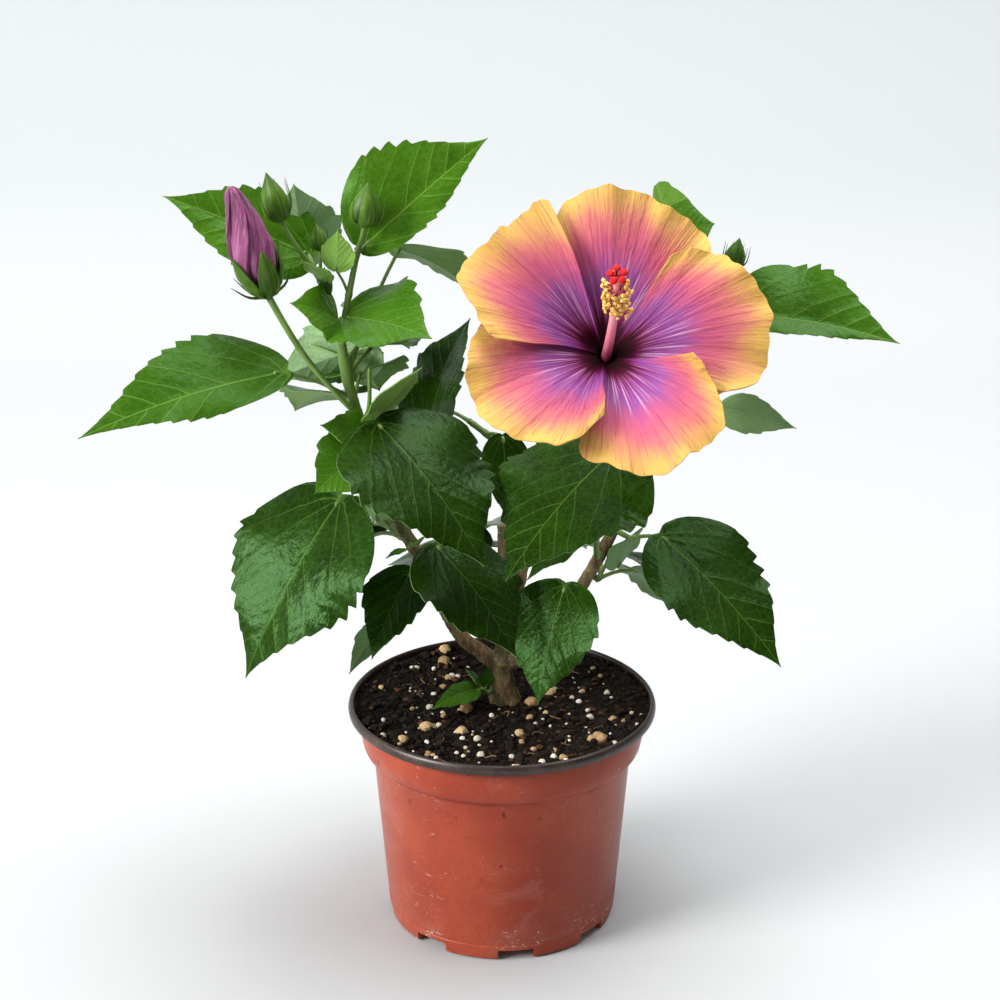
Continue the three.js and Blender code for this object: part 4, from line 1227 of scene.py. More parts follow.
def arm_tube(limb):
    along = limb.tangent(0)
    end = limb.at(0) - along * GAP
    arm = Curve([trunk_stem.at(0.85), end - along * 3, end + along * 2 * GAP])
    thick = TRUNK_RADIUS - 0.6
    return tube_part(arm.spread(8), np.linspace(thick, limb.thick, 9), 14)


def lower_trunk():
    """The stem, carried a little below the level patch that its solid stands on."""
    points = [trunk_stem.at(0) - vec(0, 0, 2), *trunk_stem.spread(14)]
    radii = [trunk_stem.radius(0), *(trunk_stem.radius(i / 14) for i in range(15))]
    return tube_part(points, radii, 20)


wood = join_parts("wood", [lower_trunk(), *map(arm_tube, boughs), *map(limb_tube, boughs)])
wood.data.remesh_voxel_size = BARK_VOXEL
select_only(wood)
bpy.ops.object.voxel_remesh()
smoother = wood.modifiers.new("soften", "SMOOTH")
smoother.factor, smoother.iterations = 0.5, 4
apply_modifiers(wood)
print("wood has", len(wood.data.vertices), "points")


# %% Bark relief
def bark_relief(at):
    """Height of the bark at a point, in metres: furrows along the limb and corky spots."""
    along = Vector((at.x * 900, at.y * 900, at.z * 220))
    furrow = abs(noise.noise(along)) * 1.2 - 0.35
    lump = noise.noise(at * 260)
    grain = noise.noise(at * 1500)
    return 0.00032 * furrow + 0.00028 * lump + 0.0001 * grain


for vertex, normal in zip(wood.data.vertices, [v.normal.copy() for v in wood.data.vertices]):
    vertex.co += normal * bark_relief(vertex.co)

# %% Bark material
bark = new_material("bark", Roughness=0.8)
at = own_place()
x, _, height = split(at)
furrows = cloud(stretch(at, (420, 420, 110)), 1.0, 4.0, 0.65)
patches = cloud(at, 75.0, 3.0)
brown = steps(
    furrows,
    (0.32, (0.04, 0.021, 0.008)),
    (0.5, (0.15, 0.088, 0.036)),
    (0.68, (0.34, 0.225, 0.11)),
)
grey = steps(furrows, (0.35, (0.042, 0.034, 0.01)), (0.65, (0.19, 0.15, 0.06)))
wood_colour = blend_colours(between(patches, 0.4, 0.6), brown, grey)
green = steps(furrows, (0.35, (0.045, 0.052, 0.012)), (0.65, (0.14, 0.165, 0.042)))
fresh_wood = between(times(patches, 0.03, height), 0.16, 0.205)
fresh_wood = times(fresh_wood, between(x, 0.02, -0.01))
wood_colour = blend_colours(fresh_wood, wood_colour, green)
tan = steps(furrows, (0.35, (0.09, 0.055, 0.02)), (0.65, (0.25, 0.17, 0.08)))
tan_wood = times(between(x, 0.012, 0.03), between(height, 0.12, 0.15))
wood_colour = tint(wood_colour, tan, tan_wood, 0.7)
spots = cells(at, 420.0)["Distance"]
spots = times(between(spots, 0.3, 0.18), between(patches, 0.42, 0.52))
wood_colour = tint(wood_colour, (0.4, 0.31, 0.2), spots, 0.5)
coat(wood_colour, furrows, 0.0006, 0.8)

wood_nodes = ["trunk", "bough_left", "bough_right", "bough_back", "bough_pruned"]
finish_piece(wood, "wood", bark, "bark", wood_nodes, 70)

# %% [markdown]
# ## The bloom
#
# A hibiscus bloom is five broad petals that overlap like a fan, each thin, pleated along its
# veins and ruffled at its rim. A flat grid holds such a shape best: it starts as a square mesh,
# each point is moved to its place on the fan, and Solidify then gives it a real thickness.
# The grid's own two directions stay with it as its UV map, so that the colours can run from the
# throat to the rim however the petal is bent.

# %% Petal colours
petal_skin = new_material("petal_skin", Roughness=0.55, Specular_IOR_Level=0.12)
uv = uv_map()
across, out, _ = split(uv)
across = times(across, 2.0, -1.0)
edge = calc("ABSOLUTE", across)
mottle = cloud(stretch(uv, (7, 3, 1)), 1.0, 4.0)
streaks = cloud(stretch(uv, (46, 1.3, 1)), 1.0, 3.0, 0.6, 0.35)
threads = cloud(stretch(uv, (80, 3.5, 1)), 1.0, 2.0, 0.55, 0.8)

rim = times(calc("POWER", edge, 4.0), 0.1, out)
rim = times(calc("SUBTRACT", mottle, 0.5), 0.24, rim)
rim = times(calc("SUBTRACT", streaks, 0.5), 0.2, rim)
colour = steps(
    rim,
    (0.14, (0.008, 0.0, 0.001)),
    (0.21, (0.04, 0.0, 0.009)),
    (0.27, (0.11, 0.003, 0.045)),
    (0.34, (0.18, 0.028, 0.16)),
    (0.46, (0.23, 0.06, 0.225)),
    (0.56, (0.36, 0.068, 0.18)),
    (0.68, (0.46, 0.09, 0.145)),
    (0.79, (0.52, 0.15, 0.125)),
    (0.88, (0.55, 0.255, 0.1)),
    (0.97, (0.57, 0.34, 0.08)),
)
pale = times(between(streaks, 0.51, 0.66), between(out, 0.2, 0.3))
pale = times(pale, between(out, 0.66, 0.4))
pale = times(pale, between(across, -1.4, 0.2))
colour = tint(colour, (0.62, 0.36, 0.54), pale, 0.68)
dark = times(between(threads, 0.44, 0.34), between(out, 0.3, 0.55))
colour = tint(colour, (0.27, 0.02, 0.07), dark, 0.42)
crinkle = cloud(stretch(uv, (26, 9, 1)), 1.0, 3.0, 0.6)
ribs = cloud(stretch(uv, (46, 1.3, 1)), 1.0, 2.0, 0.6)
coat(colour, calc("ADD", ribs, crinkle), 0.0008, 0.7)

# %% Petals
PETAL_GRID = 60
PETAL_THICK = 0.0006
FUNNEL = 0.1  # share of a petal's length that runs down into the throat
# How far the left and the right side of each petal stand off, in millimetres at the rim.
PETAL_SIDES = ((-12, 0), (0, 0), (0, 0), (0, 0), (0, 10))
# How wide each petal's two halves fan out, and how far it reaches at nine places from side to
# side, both as shares of the plain petal. No two petals of a real bloom are alike.
PETAL_SPREAD = ((1, 1), (0.83, 1), (0.83, 1), (1, 0.92), (0.9, 0.63))
PETAL_REACH = (
    (0.7, 0.85, 0.93, 0.985, 0.95, 0.945, 1.0, 1.05, 1.0),
    (0.93, 0.9, 0.89, 0.965, 0.943, 1.01, 1.015, 0.99, 1.1),
    (0.7, 0.8, 0.88, 0.895, 0.95, 0.93, 0.95, 0.97, 1.0),
    (0.75, 0.875, 0.94, 0.92, 0.985, 0.975, 0.94, 0.99, 1.0),
    (1.0, 0.957, 0.984, 1.0, 1.02, 0.93, 0.99, 1.13, 1.31),
)


def fine_petal(turn, across, run, sides, spreads, reaches):
    """The petal of the frame, with a funnel, pleats, finer ruffles and a crimped rim."""
    out = np.clip((run - FUNNEL) / (1 - FUNNEL), 0, 1)
    points = petal_points(turn, across, out)
    share = np.where(across < 0, spreads[0], spreads[1]) - 1
    shift = np.radians(across * share * petal_fan(out))
    y, z = points[..., 1].copy(), points[..., 2].copy()
    points[..., 1] = y * np.cos(shift) + z * np.sin(shift)
    points[..., 2] = z * np.cos(shift) - y * np.sin(shift)
    curve = np.polynomial.Polynomial.fit(np.linspace(-1, 1, len(reaches)), reaches, 7)
    crimp = 0.007 * out**7 * (np.sin(19 * across + turn) + 0.8 * np.sin(37 * across + 2 * turn))
    points[..., 1:] *= (1 + (curve(across) - 1) * out - crimp)[..., None]
    ruffle = 1.7 * out**4 * np.sin(11 * across + 2 * turn)
    ruffle = ruffle + 0.5 * out**6 * np.sin(27 * across - turn)
    pleat = 0.18 * np.minimum(1, 3 * out) * np.abs(np.sin(18 * across * (1 - 0.3 * out)))
    side = np.where(across < 0, sides[0], sides[1]) * across**2 * np.minimum(1, 2 * out)
    points[..., 0] += ruffle + pleat + side
    deep = np.clip(1 - run / FUNNEL, 0, 1)
    points[..., 0] -= 10 * deep
    points[..., 1:] *= (1 - 0.45 * deep)[..., None]
    return points


for i, turn in enumerate(PETAL_TURNS):
    bpy.ops.mesh.primitive_grid_add(x_subdivisions=PETAL_GRID, y_subdivisions=PETAL_GRID, size=2)
    petal = bpy.context.object
    mesh = petal.data
    flat = np.array([v.co[:2] for v in mesh.vertices])
    across, run = flat[:, 0], (flat[:, 1] + 1) / 2
    points = fine_petal(turn, across, run, PETAL_SIDES[i], PETAL_SPREAD[i], PETAL_REACH[i])
    points = bloom_place.put(points) * MM
    mesh.vertices.foreach_set("co", points.astype(np.float32).ravel())
    corners = np.array([loop.vertex_index for loop in mesh.loops])
    uv = np.stack([(across + 1) / 2, run], -1)[corners]
    mesh.uv_layers.active.data.foreach_set("uv", uv.astype(np.float32).ravel())
    mesh.update()
    towards_eye = Vector(bloom_place.axes[0])
    if sum(face.normal.dot(towards_eye) for face in mesh.polygons) < 0:
        mesh.flip_normals()
    wall = petal.modifiers.new("wall", "SOLIDIFY")
    wall.thickness, wall.offset = PETAL_THICK, 0
    apply_modifiers(petal)
    finish_piece(petal, f"petal_{i + 1}", petal_skin, "petal", ["bloom"], 70)

# %% [markdown]
# From the throat comes the column that hibiscus is known for: a slim tube set with dozens of
# anthers on short threads, and five round red stigmas at its tip.

# %% Column, anthers and stigmas
ANTHER_COUNT, STIGMA_COUNT = 120, 5
GOLDEN_TURN = 137.5  # degrees from one anther to the next, so that none lines up with another


def lump_part(at, way, size, tone, sides=7, squash=0.7):
    """A small rounded body, for an anther or a stigma's pad."""
    side = unit(np.cross(way, (0.3, 0.5, 0.81)))
    up = np.cross(way, side)
    rings, turn = [], full_turn(sides)
    ring = np.cos(turn)[:, None] * side + np.sin(turn)[:, None] * up
    for lift in (-0.85, -0.4, 0.1, 0.6, 0.9):
        wide = size * math.sqrt(1 - lift**2)
        rings.append(at + way * lift * size * squash + wide * ring)
    return rings_part(rings, 1, tone)


t = np.linspace(0, 1, 30)
column = [tube_part(column_line.spread(29), 2.1 - 0.95 * t, 14)]
filaments, anthers, stigmas = [], [], []
roll = dice(77)
for i in range(ANTHER_COUNT):
    t = 0.6 + 0.27 * i / ANTHER_COUNT
    spot = column_line.at(t)
    around = math.radians(GOLDEN_TURN * i) + roll()
    way = unit(turned_about_x(around, 0.15 + 0.5 * roll(), 1))
    far = 2.7 + 3.7 * roll()
    tip = spot + way * far + vec(0.5, 0, 0)
    filaments.append(tube_part([spot, spot + way * far * 0.6, tip], (0.26, 0.22, 0.2), 5))
    anthers.append(lump_part(tip, way, 0.72 + 0.33 * roll(), (0, 0, roll())))
end = column_line.at(0.97)
for i in range(STIGMA_COUNT):
    around = math.radians(72 * i + 20)
    tip = end + turned_about_x(around, 3.4, 2.7)
    middle = end + turned_about_x(around, 2.0, 1.2)
    stigmas.append(tube_part([end, middle, tip], (0.6, 0.5, 0.5), 7))
    stigmas.append(lump_part(tip, unit(turned_about_x(around, 1, 0.35)), 1.55, (0, 0, 1), 14, 0.6))


# %% Their materials
column_skin = new_material("column_skin", Roughness=0.45)
_, run, _ = split(uv_map())
speck = cloud(own_place(), 500.0, 3.0)
run = times(calc("SUBTRACT", speck, 0.5), 1.2, run)
blush = steps(
    calc("DIVIDE", run, 7.4),
    (0.1, (0.35, 0.01, 0.07)),
    (0.35, (0.72, 0.22, 0.3)),
    (0.7, (0.82, 0.42, 0.42)),
    (1.0, (0.75, 0.2, 0.22)),
)
coat(blush, speck, 0.0001, 0.4)

pollen = new_material("pollen", Roughness=0.8)
grain = cloud(own_place(), 1900.0, 3.0, 0.7)
chance = tones()[2]
gold = blend_colours(chance, (0.82, 0.46, 0.06), (0.88, 0.62, 0.18))
gold = blend_colours(between(grain, 0.5, 0.35), gold, (0.5, 0.17, 0.015))
coat(gold, grain, 0.0003, 1.0)

stigma_skin = new_material("stigma_skin", Roughness=0.6, Specular_IOR_Level=0.2)
velvet = cloud(own_place(), 1400.0, 4.0, 0.7)
red = steps(velvet, (0.35, (0.4, 0.004, 0.006)), (0.65, (0.66, 0.012, 0.014)))
coat(red, velvet, 0.0003, 0.9)

for name, parts, material in (
    ("column", column, column_skin),
    ("filaments", filaments, column_skin),
    ("anthers", anthers, pollen),
    ("stigmas", stigmas, stigma_skin),
):
    build_piece(name, put_parts(bloom_place, parts), material, "petal", ["bloom"], 60)

# %% [markdown]
# Behind the petals sits the calyx, a green cup cut into five teeth, with a ring of thin bracts
# round it. It stands on the flower's own stalk.

# %% Calyx and flower stalk
CALYX = [(-25.5, 2.2), (-22, 5), (-16, 5.8), (-10, 6.4), (-7, 6.6), (-6, 5.5)]


def cup_part(profile, sides=30, ribs=5, depth=0.05):
    turn = full_turn(sides)
    xs, radii = np.array(profile, float).T
    stops = np.linspace(0, len(xs) - 1, 4 * len(xs))
    at = np.arange(len(xs))
    rings = []
    for x, radius in zip(np.interp(stops, at, xs), np.interp(stops, at, radii)):
        rings.append(turned_about_x(turn, x, radius * (1 + depth * np.cos(ribs * turn))))
    return rings_part(rings)


def stalk_piece(name, line, thick, growth, young, node):
    """A stalk that thickens towards its flower."""
    radii = thick + growth * np.linspace(0, 1, 25)
    stalk = tube_part(line.spread(24), radii, 10, (0, young, 0.5))
    build_piece(name, [stalk], green_stem, "leaf_green", [node], 60)


calyx = [cup_part(CALYX)]
calyx += bract_ring(lambda i: ((-24, 2.6), (-18, 9.5), (-7, 12.5)), 0.9, (0, 0.4, 0.5))
build_piece("calyx", put_parts(bloom_place, calyx), green_bud, "leaf_green", ["bloom"], 60)
stalk_piece("flower_stalk", pedicel_line, 1.35, 0.5, 0.5, "bloom")

# %% [markdown]
# The bud that is about to open shows its petals rolled round each other like an umbrella. One
# skin of rings does it: each ring is a little further turned than the last, and its outline
# steps in where one petal tucks under the next.

# %% The opening bud
BUD_PROFILE = [(1.5, 2.6), (7, 5.7), (12, 7.6), (17, 8.6), (22, 8.4), (28, 7.4)]
BUD_PROFILE += [(33, 6.1), (38, 4.5), (42, 3.3), (44, 2.6), (45.4, 1.2)]
BUD_TWIST = 0.045  # radians for each millimetre


def rolled_petals(sides=80, rings=46):
    turn = full_turn(sides)
    xs, radii = np.array(BUD_PROFILE).T
    shells = []
    for x in np.linspace(xs[0], xs[-1], rings):
        radius = np.interp(x, xs, radii)
        fold = np.mod(5 * turn / (2 * math.pi), 1)
        step = 0.2 * (fold - 0.5) - 0.12 * np.exp(-((fold / 0.05) ** 2))
        crease = 0.16 * np.sin(11 * turn + 0.4 * x) + 0.1 * np.sin(23 * turn - 0.7 * x)
        wide = radius * (1 + step * min(1, x / 12)) + crease
        shells.append(turned_about_x(turn + BUD_TWIST * x, x, wide))
    return rings_part(shells)


def sepal_part(angle):
    """One pointed tooth of the bud's cup, bowed round the petals."""
    t, u = np.meshgrid(np.linspace(0, 1, 12), np.linspace(-1, 1, 9), indexing="ij")
    wide = 0.68 * (1 - t**1.6) + 0.03
    turn = angle + u * wide
    radius = np.interp(t, (0, 0.2, 0.55, 1), (2.4, 6.8, 9.4, 10.2)) + 0.5 * np.cos(u * 1.5)
    outer, inner = [turned_about_x(turn, 20.5 * t - 0.5, radius - inset) for inset in (0.0, 0.5)]
    return rings_part(np.concatenate([inner, outer[:, ::-1]], 1))


cup_pieces = [cup_part([(-1.5, 1.2), (0, 3), (2, 5.2), (4, 6.2), (6, 6.9)])]
cup_pieces += [sepal_part(math.radians(72 * i + 10)) for i in range(5)]
cup_pieces += bract_ring(lambda i: ((0, 2.2), (2.5, 8), (9, 11.5 + i % 3)), 0.7, (0, 0, 0.5), 0.5)

bud_petal = new_material("bud_petal", Roughness=0.38, Sheen_Weight=0.2)
uv = uv_map()
streak = cloud(stretch(uv, (18, 3, 1)), 1.0, 6.0, 0.65, 0.7)
purple = steps(
    streak, (0.34, (0.1, 0.01, 0.055)), (0.52, (0.22, 0.038, 0.13)), (0.68, (0.4, 0.11, 0.26))
)
coat(purple, streak, 0.0012, 0.9)

bud_skin = put_parts(bud_place, [rolled_petals()])
build_piece("bud_petals", bud_skin, bud_petal, "bud_purple", ["bud_opening"], 50)
cup_pieces = put_parts(bud_place, cup_pieces)
build_piece("bud_cup", cup_pieces, green_bud, "leaf_green", ["bud_opening"], 50)
stalk_piece("bud_stalk", bud_stalk, 0.95, 0.55, 0.7, "bud_opening")

# %% [markdown]
# ## The pot
#
# A moulded nursery pot is turned in shape: a slightly conical wall, a step near its top where it
# stacks into the next one, and small drain notches round its foot. So its section is drawn once
# as a line of points and spun about Z, as on a wheel. The notches and the drain holes are then
# cut with booleans.

# %% Spinning a section
POT_STEPS = 96
POT_TOP, LIP_RADIUS, LIP_DEPTH = 98, 65, 4.6
COLLAR_RADIUS, STEP_RADIUS, STEP_HEIGHT, FOOT_RADIUS = 60, 54.8, 76, 49
WALL, FLOOR = 1.5, 3
NOTCHES, NOTCH_WIDTH, NOTCH_HEIGHT, FIRST_NOTCH = 8, 15, 4.6, -83


def spin_section(name, section, steps=POT_STEPS, closed=False):
    """A line of (radius, height) points spun about Z. It starts and ends on the axis, or closes."""
    mesh = bpy.data.meshes.new(name)
    count = len(section)
    edges = [(i, (i + 1) % count) for i in range(count if closed else count - 1)]
    mesh.from_pydata([(radius * MM, 0, height * MM) for radius, height in section], edges, [])
    piece = bpy.data.objects.new(name, mesh)
    bpy.context.scene.collection.objects.link(piece)
    select_only(piece)
    bpy.ops.object.mode_set(mode="EDIT")
    bpy.ops.mesh.select_all(action="SELECT")
    bpy.ops.mesh.spin(steps=steps, angle=2 * math.pi, center=(0, 0, 0), axis=(0, 0, 1))
    bpy.ops.mesh.select_all(action="SELECT")
    bpy.ops.mesh.remove_doubles(threshold=0.000005)
    bpy.ops.mesh.normals_make_consistent(inside=False)
    bpy.ops.object.mode_set(mode="OBJECT")
    return piece


def cut_away(piece, cutter):
    cut = piece.modifiers.new("cut", "BOOLEAN")
    cut.operation, cut.solver, cut.object = "DIFFERENCE", "EXACT", cutter
    apply_modifiers(piece)
    bpy.data.objects.remove(cutter)


# %% The pot's wall
GROOVE_HEIGHT = 6.8  # a faint ring moulded above the foot
collar_top = POT_TOP - LIP_DEPTH - GAP
groove = FOOT_RADIUS + 0.1

pot_section = [
    (0, 0), (12, 0), (14, FLOOR - 1.2), (31, FLOOR - 1.2), (33, 0),
    (FOOT_RADIUS - 1.8, 0), (FOOT_RADIUS - 0.8, 0.5), (FOOT_RADIUS - 0.3, 2.0),
    (groove, GROOVE_HEIGHT - 0.8), (groove + 0.1, GROOVE_HEIGHT - 0.3),
    (groove - 0.1, GROOVE_HEIGHT), (groove + 0.15, GROOVE_HEIGHT + 0.5),
    (STEP_RADIUS - 0.1, STEP_HEIGHT - 0.8), (STEP_RADIUS + 0.3, STEP_HEIGHT),
    (STEP_RADIUS + 1.8, STEP_HEIGHT + 0.7), (COLLAR_RADIUS - 1.6, STEP_HEIGHT + 2.6),
    (COLLAR_RADIUS - 1.0, STEP_HEIGHT + 4), (COLLAR_RADIUS - 0.2, STEP_HEIGHT + 8),
    (COLLAR_RADIUS + 0.6, collar_top), (COLLAR_RADIUS + 0.6 - WALL, collar_top),
    (COLLAR_RADIUS - 0.2 - WALL, STEP_HEIGHT + 8), (STEP_RADIUS - WALL, STEP_HEIGHT - 1),
    (FOOT_RADIUS - WALL, NOTCH_HEIGHT + WALL + 1.5), (FOOT_RADIUS - 3.5, NOTCH_HEIGHT + WALL),
    (35, NOTCH_HEIGHT + WALL), (31, FLOOR), (0, FLOOR),
]
pot = spin_section("pot_body", pot_section)

NOTCH_OUT, DRAIN_OUT = 0.044, 0.024  # how far from the axis each cutter stands, in metres
cutters = []
for i in range(NOTCHES):
    heading = math.radians(FIRST_NOTCH + 360 / NOTCHES * i)
    at = (NOTCH_OUT * math.cos(heading), NOTCH_OUT * math.sin(heading), 0)
    bpy.ops.mesh.primitive_cube_add(size=1, location=at, rotation=(0, 0, heading))
    cutters.append(bpy.context.object)
    cutters[-1].scale = (0.016, NOTCH_WIDTH * MM, 2 * NOTCH_HEIGHT * MM)
    heading += math.pi / NOTCHES
    at = (DRAIN_OUT * math.cos(heading), DRAIN_OUT * math.sin(heading), 0)
    bpy.ops.mesh.primitive_cylinder_add(vertices=24, radius=0.003, depth=0.012, location=at)
    cutters.append(bpy.context.object)
select_only(*cutters)
bpy.ops.object.join()
cut_away(pot, bpy.context.object)
soft_edges = pot.modifiers.new("soft_edges", "BEVEL")
soft_edges.width, soft_edges.segments, soft_edges.limit_method = 0.0003, 2, "ANGLE"
soft_edges.angle_limit = math.radians(50)
apply_modifiers(pot)

# %% [markdown]
# The plastic is terracotta red, flecked with paler and darker grains. Watering has left white
# lime along its foot and under the step, and soil has left brown smears and small stains.

# %% Pot material
terracotta = new_material("terracotta", Roughness=0.4, Specular_IOR_Level=0.2)
at = own_place()
height = split(at)[2]
flecks = cloud(at, 700.0, 3.0)
broad = cloud(at, 24.0, 4.0, 0.6)
clay = steps(flecks, (0.3, (0.31, 0.048, 0.021)), (0.7, (0.37, 0.07, 0.033)))
clay = blend_colours(between(broad, 0.35, 0.7), clay, (0.27, 0.038, 0.018))
haze = cloud(stretch(at, (1, 1, 1.6)), 30.0, 6.0, 0.7, 0.6)
clay = tint(clay, (0.62, 0.36, 0.3), between(haze, 0.54, 0.66), 0.1)

flakes = cloud(at, 520.0, 4.0, 0.75, 1.2)
chalky = cloud(at, 38.0, 4.0, 0.7)
low_band = between(height, 0.026, 0.004)
step_band = band(height, 0.068, 0.075, 0.079, 0.088)
lime_area = calc("MAXIMUM", low_band, times(step_band, 0.55))
lime_area = calc("MAXIMUM", lime_area, times(between(chalky, 0.6, 0.7), 0.5))
lime_area = times(lime_area, between(chalky, 0.42, 0.6))
lime = times(lime_area, 0.115, flakes)
lime = times(between(lime, 0.7, 0.73), between(lime_area, 0.02, 0.2))
clay = tint(clay, (0.62, 0.42, 0.36), lime_area, 0.06)
clay = tint(clay, (0.78, 0.66, 0.6), lime, 0.85)

scratch = cloud(stretch(at, (120, 120, 700)), 1.0, 3.0, 0.6, 2.5)
scratches = times(between(scratch, 0.66, 0.68), between(chalky, 0.52, 0.58))
clay = tint(clay, (0.68, 0.46, 0.4), scratches, 0.5)
stains = cells(stretch(at, (110, 110, 70)), 1.0)["Distance"]
stains = times(cloud(at, 420.0, 3.0), 0.34, stains)
stains = times(between(stains, 0.29, 0.23), between(broad, 0.43, 0.5))
dirt = band(height, 0.0735, 0.0755, 0.0765, 0.0785)
dirt = times(dirt, between(cloud(at, 60.0, 5.0, 0.8), 0.54, 0.62))
stains = calc("MAXIMUM", stains, dirt)
clay = tint(clay, (0.1, 0.012, 0.006), stains, 0.75)
matt = times(lime_area, 0.25, times(haze, 0.28, 0.17))
coat(clay, flecks, 0.00003, 0.7, matt)
finish_piece(pot, "pot_wall", terracotta, "terracotta_plastic", ["pot"], 40)

# %% [markdown]
# The lip is a rolled ring of darker plastic. It sits on the collar and slopes down inside
# to the soil. It is spun as well, from a closed outline, with rounded shoulders.

# %% The lip
low = POT_TOP - LIP_DEPTH
RIM_WIDTH = 2.5  # the rolled rim stands on a thin flange that the soil covers
inner = LIP_RADIUS - RIM_WIDTH
flange = COLLAR_RADIUS + 0.3 - WALL
lip_section = [
    (flange, low), (LIP_RADIUS - 1.4, low), (LIP_RADIUS - 0.7, low + 0.35),
    (LIP_RADIUS - 0.2, low + 1), (LIP_RADIUS, low + 2.2), (LIP_RADIUS - 0.1, low + 3.0),
    (LIP_RADIUS - 0.45, POT_TOP - 0.7), (LIP_RADIUS - 0.9, POT_TOP - 0.2),
    (LIP_RADIUS - 1.4, POT_TOP), (inner + 0.6, POT_TOP - 0.15), (inner + 0.2, POT_TOP - 0.6),
    (inner, POT_TOP - 1.4), (inner, low + 1.0), (flange, low + 0.7),
]
lip = spin_section("pot_lip_ring", lip_section, 128, closed=True)

dark_lip = new_material("dark_lip", Roughness=0.3, Specular_IOR_Level=0.5)
at = own_place()
dust = cloud(at, 90.0, 6.0, 0.65)
fine = cloud(at, 1100.0, 3.0)
brown = steps(
    dust,
    (0.35, (0.018, 0.008, 0.006)),
    (0.55, (0.03, 0.015, 0.011)),
    (0.75, (0.07, 0.042, 0.032)),
)
brown = tint(brown, (0.22, 0.18, 0.15), between(fine, 0.6, 0.72), 0.35)
relief = times(fine, 0.3, dust)
coat(brown, relief, 0.00012, 0.7, times(dust, 0.3, 0.22))
finish_piece(lip, "pot_lip_ring", dark_lip, "dark_plastic", ["pot_lip"], 40)

# %% [markdown]
# ## Soil
#
# Potting soil is nearly black peat in crumbs, with white perlite beads, bits of clay and bark,
# and fibres. The body is spun like the pot, with many rings across its top, and noise lifts
# these into crumbs. The loose bits that catch the eye are small lumps of their own, strewn by
# a seeded rule and joined into one mesh.

# %% The body of soil
SOIL_TOP, SOIL_RINGS, RING_GAP = 92, 53, 1.17
inside = COLLAR_RADIUS - 0.2 - WALL - GAP
soil_section = [(0, FLOOR + GAP), (30.5, FLOOR + GAP), (34.8, NOTCH_HEIGHT + WALL + GAP)]
soil_section += [(FOOT_RADIUS - WALL - 2.8, NOTCH_HEIGHT + WALL + GAP)]
soil_section += [(FOOT_RADIUS - WALL - GAP, NOTCH_HEIGHT + WALL + 2.4)]
soil_section += [(STEP_RADIUS - WALL - GAP, STEP_HEIGHT - 0.6), (inside, STEP_HEIGHT + 8.2)]
soil_edge = inner - GAP
soil_section += [(inside, low + 1.0), (soil_edge, low + 1.3)]
soil_section += [(soil_edge - 0.2 - i * RING_GAP, SOIL_TOP) for i in range(SOIL_RINGS)]
soil_section += [(0, SOIL_TOP)]
soil = spin_section("soil_body", soil_section, 180)


def soil_height(x, y):
    """How far the surface stands above its mean level, in millimetres."""
    at = Vector((x, y, 0))
    crumbs = noise.noise(at * 0.28) * 1.1 + abs(noise.noise(at * 0.8)) * 1.3
    crumbs += noise.noise(at * 1.9) * 0.5
    far = math.hypot(x - TRUNK_X, y - TRUNK_Y)
    mound = 1.3 / (1 + (far / 12) ** 4)
    bank = 3.6 * min(1, max(0, (math.hypot(x, y) - 34) / 26)) ** 1.5
    return 0.9 * crumbs - 0.35 + mound + bank


for vertex in soil.data.vertices:
    x, y, z = vertex.co / MM
    if abs(z - SOIL_TOP) < 0.01:
        vertex.co.z += soil_height(x, y) * MM

peat = new_material("peat", Roughness=0.9, Specular_IOR_Level=0.12)
at = own_place()
lumps = cells(at, 520.0)["Distance"]
grit = cloud(at, 700.0, 3.0, 0.7)
patch = cloud(at, 90.0, 3.0)
dark = steps(
    grit,
    (0.3, (0.002, 0.0013, 0.001)),
    (0.55, (0.007, 0.0045, 0.003)),
    (0.75, (0.03, 0.018, 0.012)),
)
dark = tint(dark, (0.014, 0.008, 0.005), patch, 0.3)
bits = times(between(grit, 0.6, 0.64), between(patch, 0.5, 0.6))
dark = tint(dark, (0.16, 0.09, 0.05), bits, 0.6)
coat(dark, times(grit, 0.6, lumps), 0.0016, 1.0)
finish_piece(soil, "soil_body", peat, "peat", ["soil"], 80)

# %% Loose bits on the soil
GRAIN_SEED, FIBRE_COUNT = 300, 30
KINDS = (  # name, how many, least and greatest size in millimetres, flatness; colours, roughness
    ("perlite", 120, 0.5, 1.8, 0.9, (0.5, 0.42, 0.3), (0.85, 0.8, 0.7), 0.85),
    ("clay", 42, 1.2, 3.1, 0.85, (0.28, 0.15, 0.06), (0.62, 0.44, 0.24), 0.9),
    ("bark_chips", 170, 0.6, 2.0, 0.5, (0.035, 0.014, 0.008), (0.12, 0.05, 0.025), 0.85),
    ("peat_crumbs", 900, 0.6, 2.4, 0.75, (0.004, 0.003, 0.002), (0.022, 0.013, 0.009), 0.92),
)


def grain_part(at, size, flat, roll, tone):
    """A knobbly lump of a few dozen faces, turned any way. The big pale ones are rounder."""
    sides = 8 if flat > 0.8 else 6
    rings, turn = [], full_turn(sides)
    levels = ((-0.7, 0.55), (-0.1, 1.0), (0.55, 0.75))
    if flat > 0.8:
        levels = ((-0.85, 0.45), (-0.5, 0.85), (0, 1.0), (0.5, 0.85), (0.85, 0.45))
    rough = 0.24 if flat > 0.8 else 0.5
    for lift, wide in levels:
        radius = size * wide * np.array([1 + rough * (roll() - 0.5) for _ in range(sides)])
        rings.append(turned_about_x(turn, lift * size * flat, radius)[:, [1, 2, 0]])
    place = Place(at, 360 * roll(), 50 * (roll() - 0.5), 50 * (roll() - 0.5))
    return rings_part(place.put(rings), tone=tone)


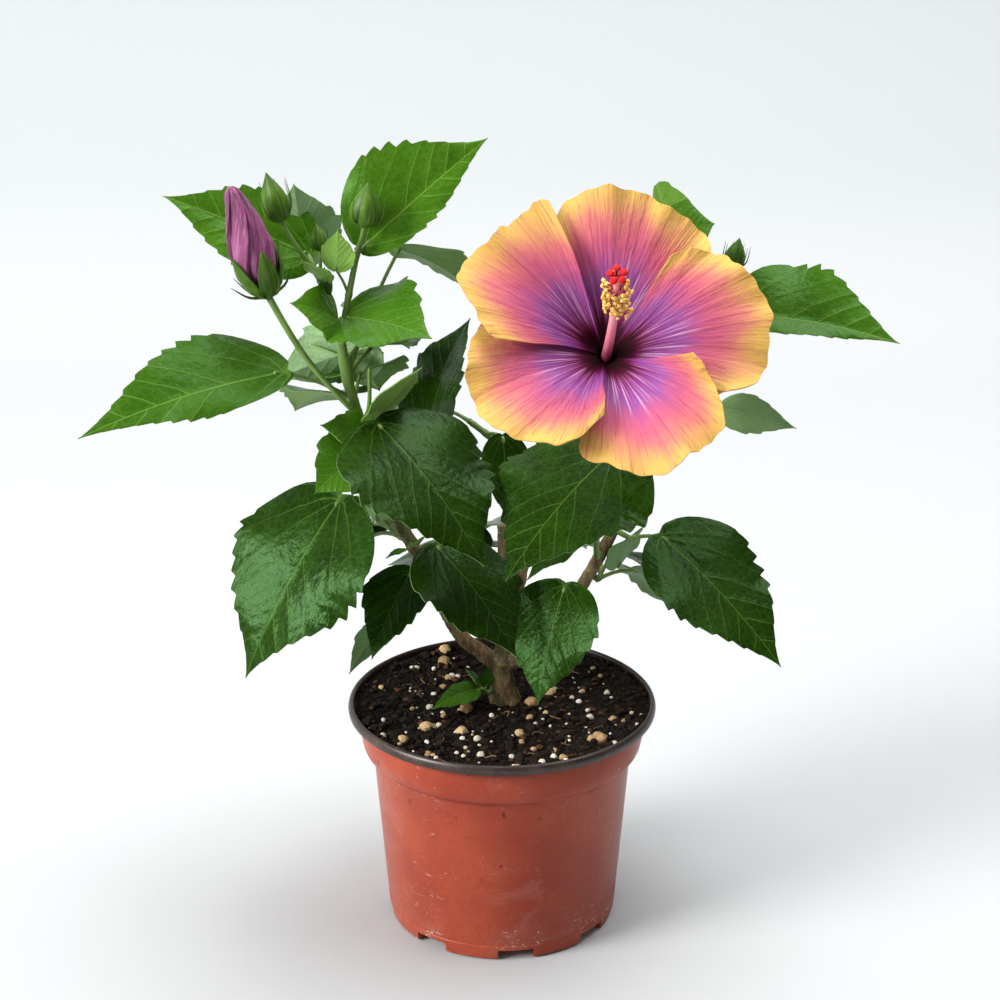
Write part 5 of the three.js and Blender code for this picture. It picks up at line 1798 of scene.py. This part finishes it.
def strewn(count, low, high, flat, seed):
    roll = dice(seed)
    parts = []
    while len(parts) < count:
        radius, turn = (soil_edge - 1) * math.sqrt(roll()), 2 * math.pi * roll()
        x, y = radius * math.cos(turn), radius * math.sin(turn)
        size = low + (high - low) * roll() ** 2
        if math.hypot(x - TRUNK_X, y - TRUNK_Y) < TRUNK_FLARE + size:
            continue
        z = SOIL_TOP + soil_height(x, y) + size * flat * 0.25
        parts.append(grain_part((x, y, z), size, flat, roll, (0, 0, roll())))
    return parts


def grain_material(name, low, high, rough):
    material = new_material(name, Roughness=rough, Specular_IOR_Level=0.15)
    chance = tones()[2]
    grit = cloud(own_place(), 900.0, 4.0, 0.7)
    share = times(chance, 0.6, times(grit, 0.5))
    coat(blend_colours(share, low, high), grit, 0.0003, 0.9)
    return material


for i, (kind, count, small, big, flat, *look) in enumerate(KINDS):
    grains = strewn(count, small, big, flat, GRAIN_SEED + i)
    build_piece(kind, grains, grain_material(kind, *look), "peat", (), 30)

roll = dice(91)
fibres = []
for i in range(FIBRE_COUNT):
    radius, turn = (inside - 8) * math.sqrt(roll()), 2 * math.pi * roll()
    at = vec(radius * math.cos(turn), radius * math.sin(turn), 0)
    if math.hypot(at[0] - TRUNK_X, at[1] - TRUNK_Y) < TRUNK_FLARE + 6:
        continue
    way = direction(360 * roll(), 0) * (3 + 4 * roll())
    bow = direction(360 * roll(), 0) * 1.5
    spots = [at - way / 2, at + bow, at + way / 2]
    for spot, lift in zip(spots, (0.1, 0.9, 0.2)):
        spot[2] = SOIL_TOP + soil_height(spot[0], spot[1]) + lift
    radii = np.full(9, 0.16 + 0.16 * roll())
    fibres.append(tube_part(Curve(spots).spread(8), radii, 5, (0, 0, roll())))
fibre = grain_material("fibre", (0.09, 0.045, 0.02), (0.32, 0.2, 0.1), 0.8)
build_piece("fibres", fibres, fibre, "peat", (), 40)

# %% [markdown]
# ## Last checks
#
# The dressed plant should fill the same box as its frame, within a few millimetres.

# %% Sizes, and done
sizes = [[*cad_low], [*cad_high]] + [[*corner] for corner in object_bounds()]
print("frame and dressed boxes, in millimetres:")
for corner in sizes:
    print([round(value / MM, 1) for value in corner])
triangles = sum(len(p.vertices) - 2 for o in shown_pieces() for p in o.data.polygons)
print(triangles, "triangles")
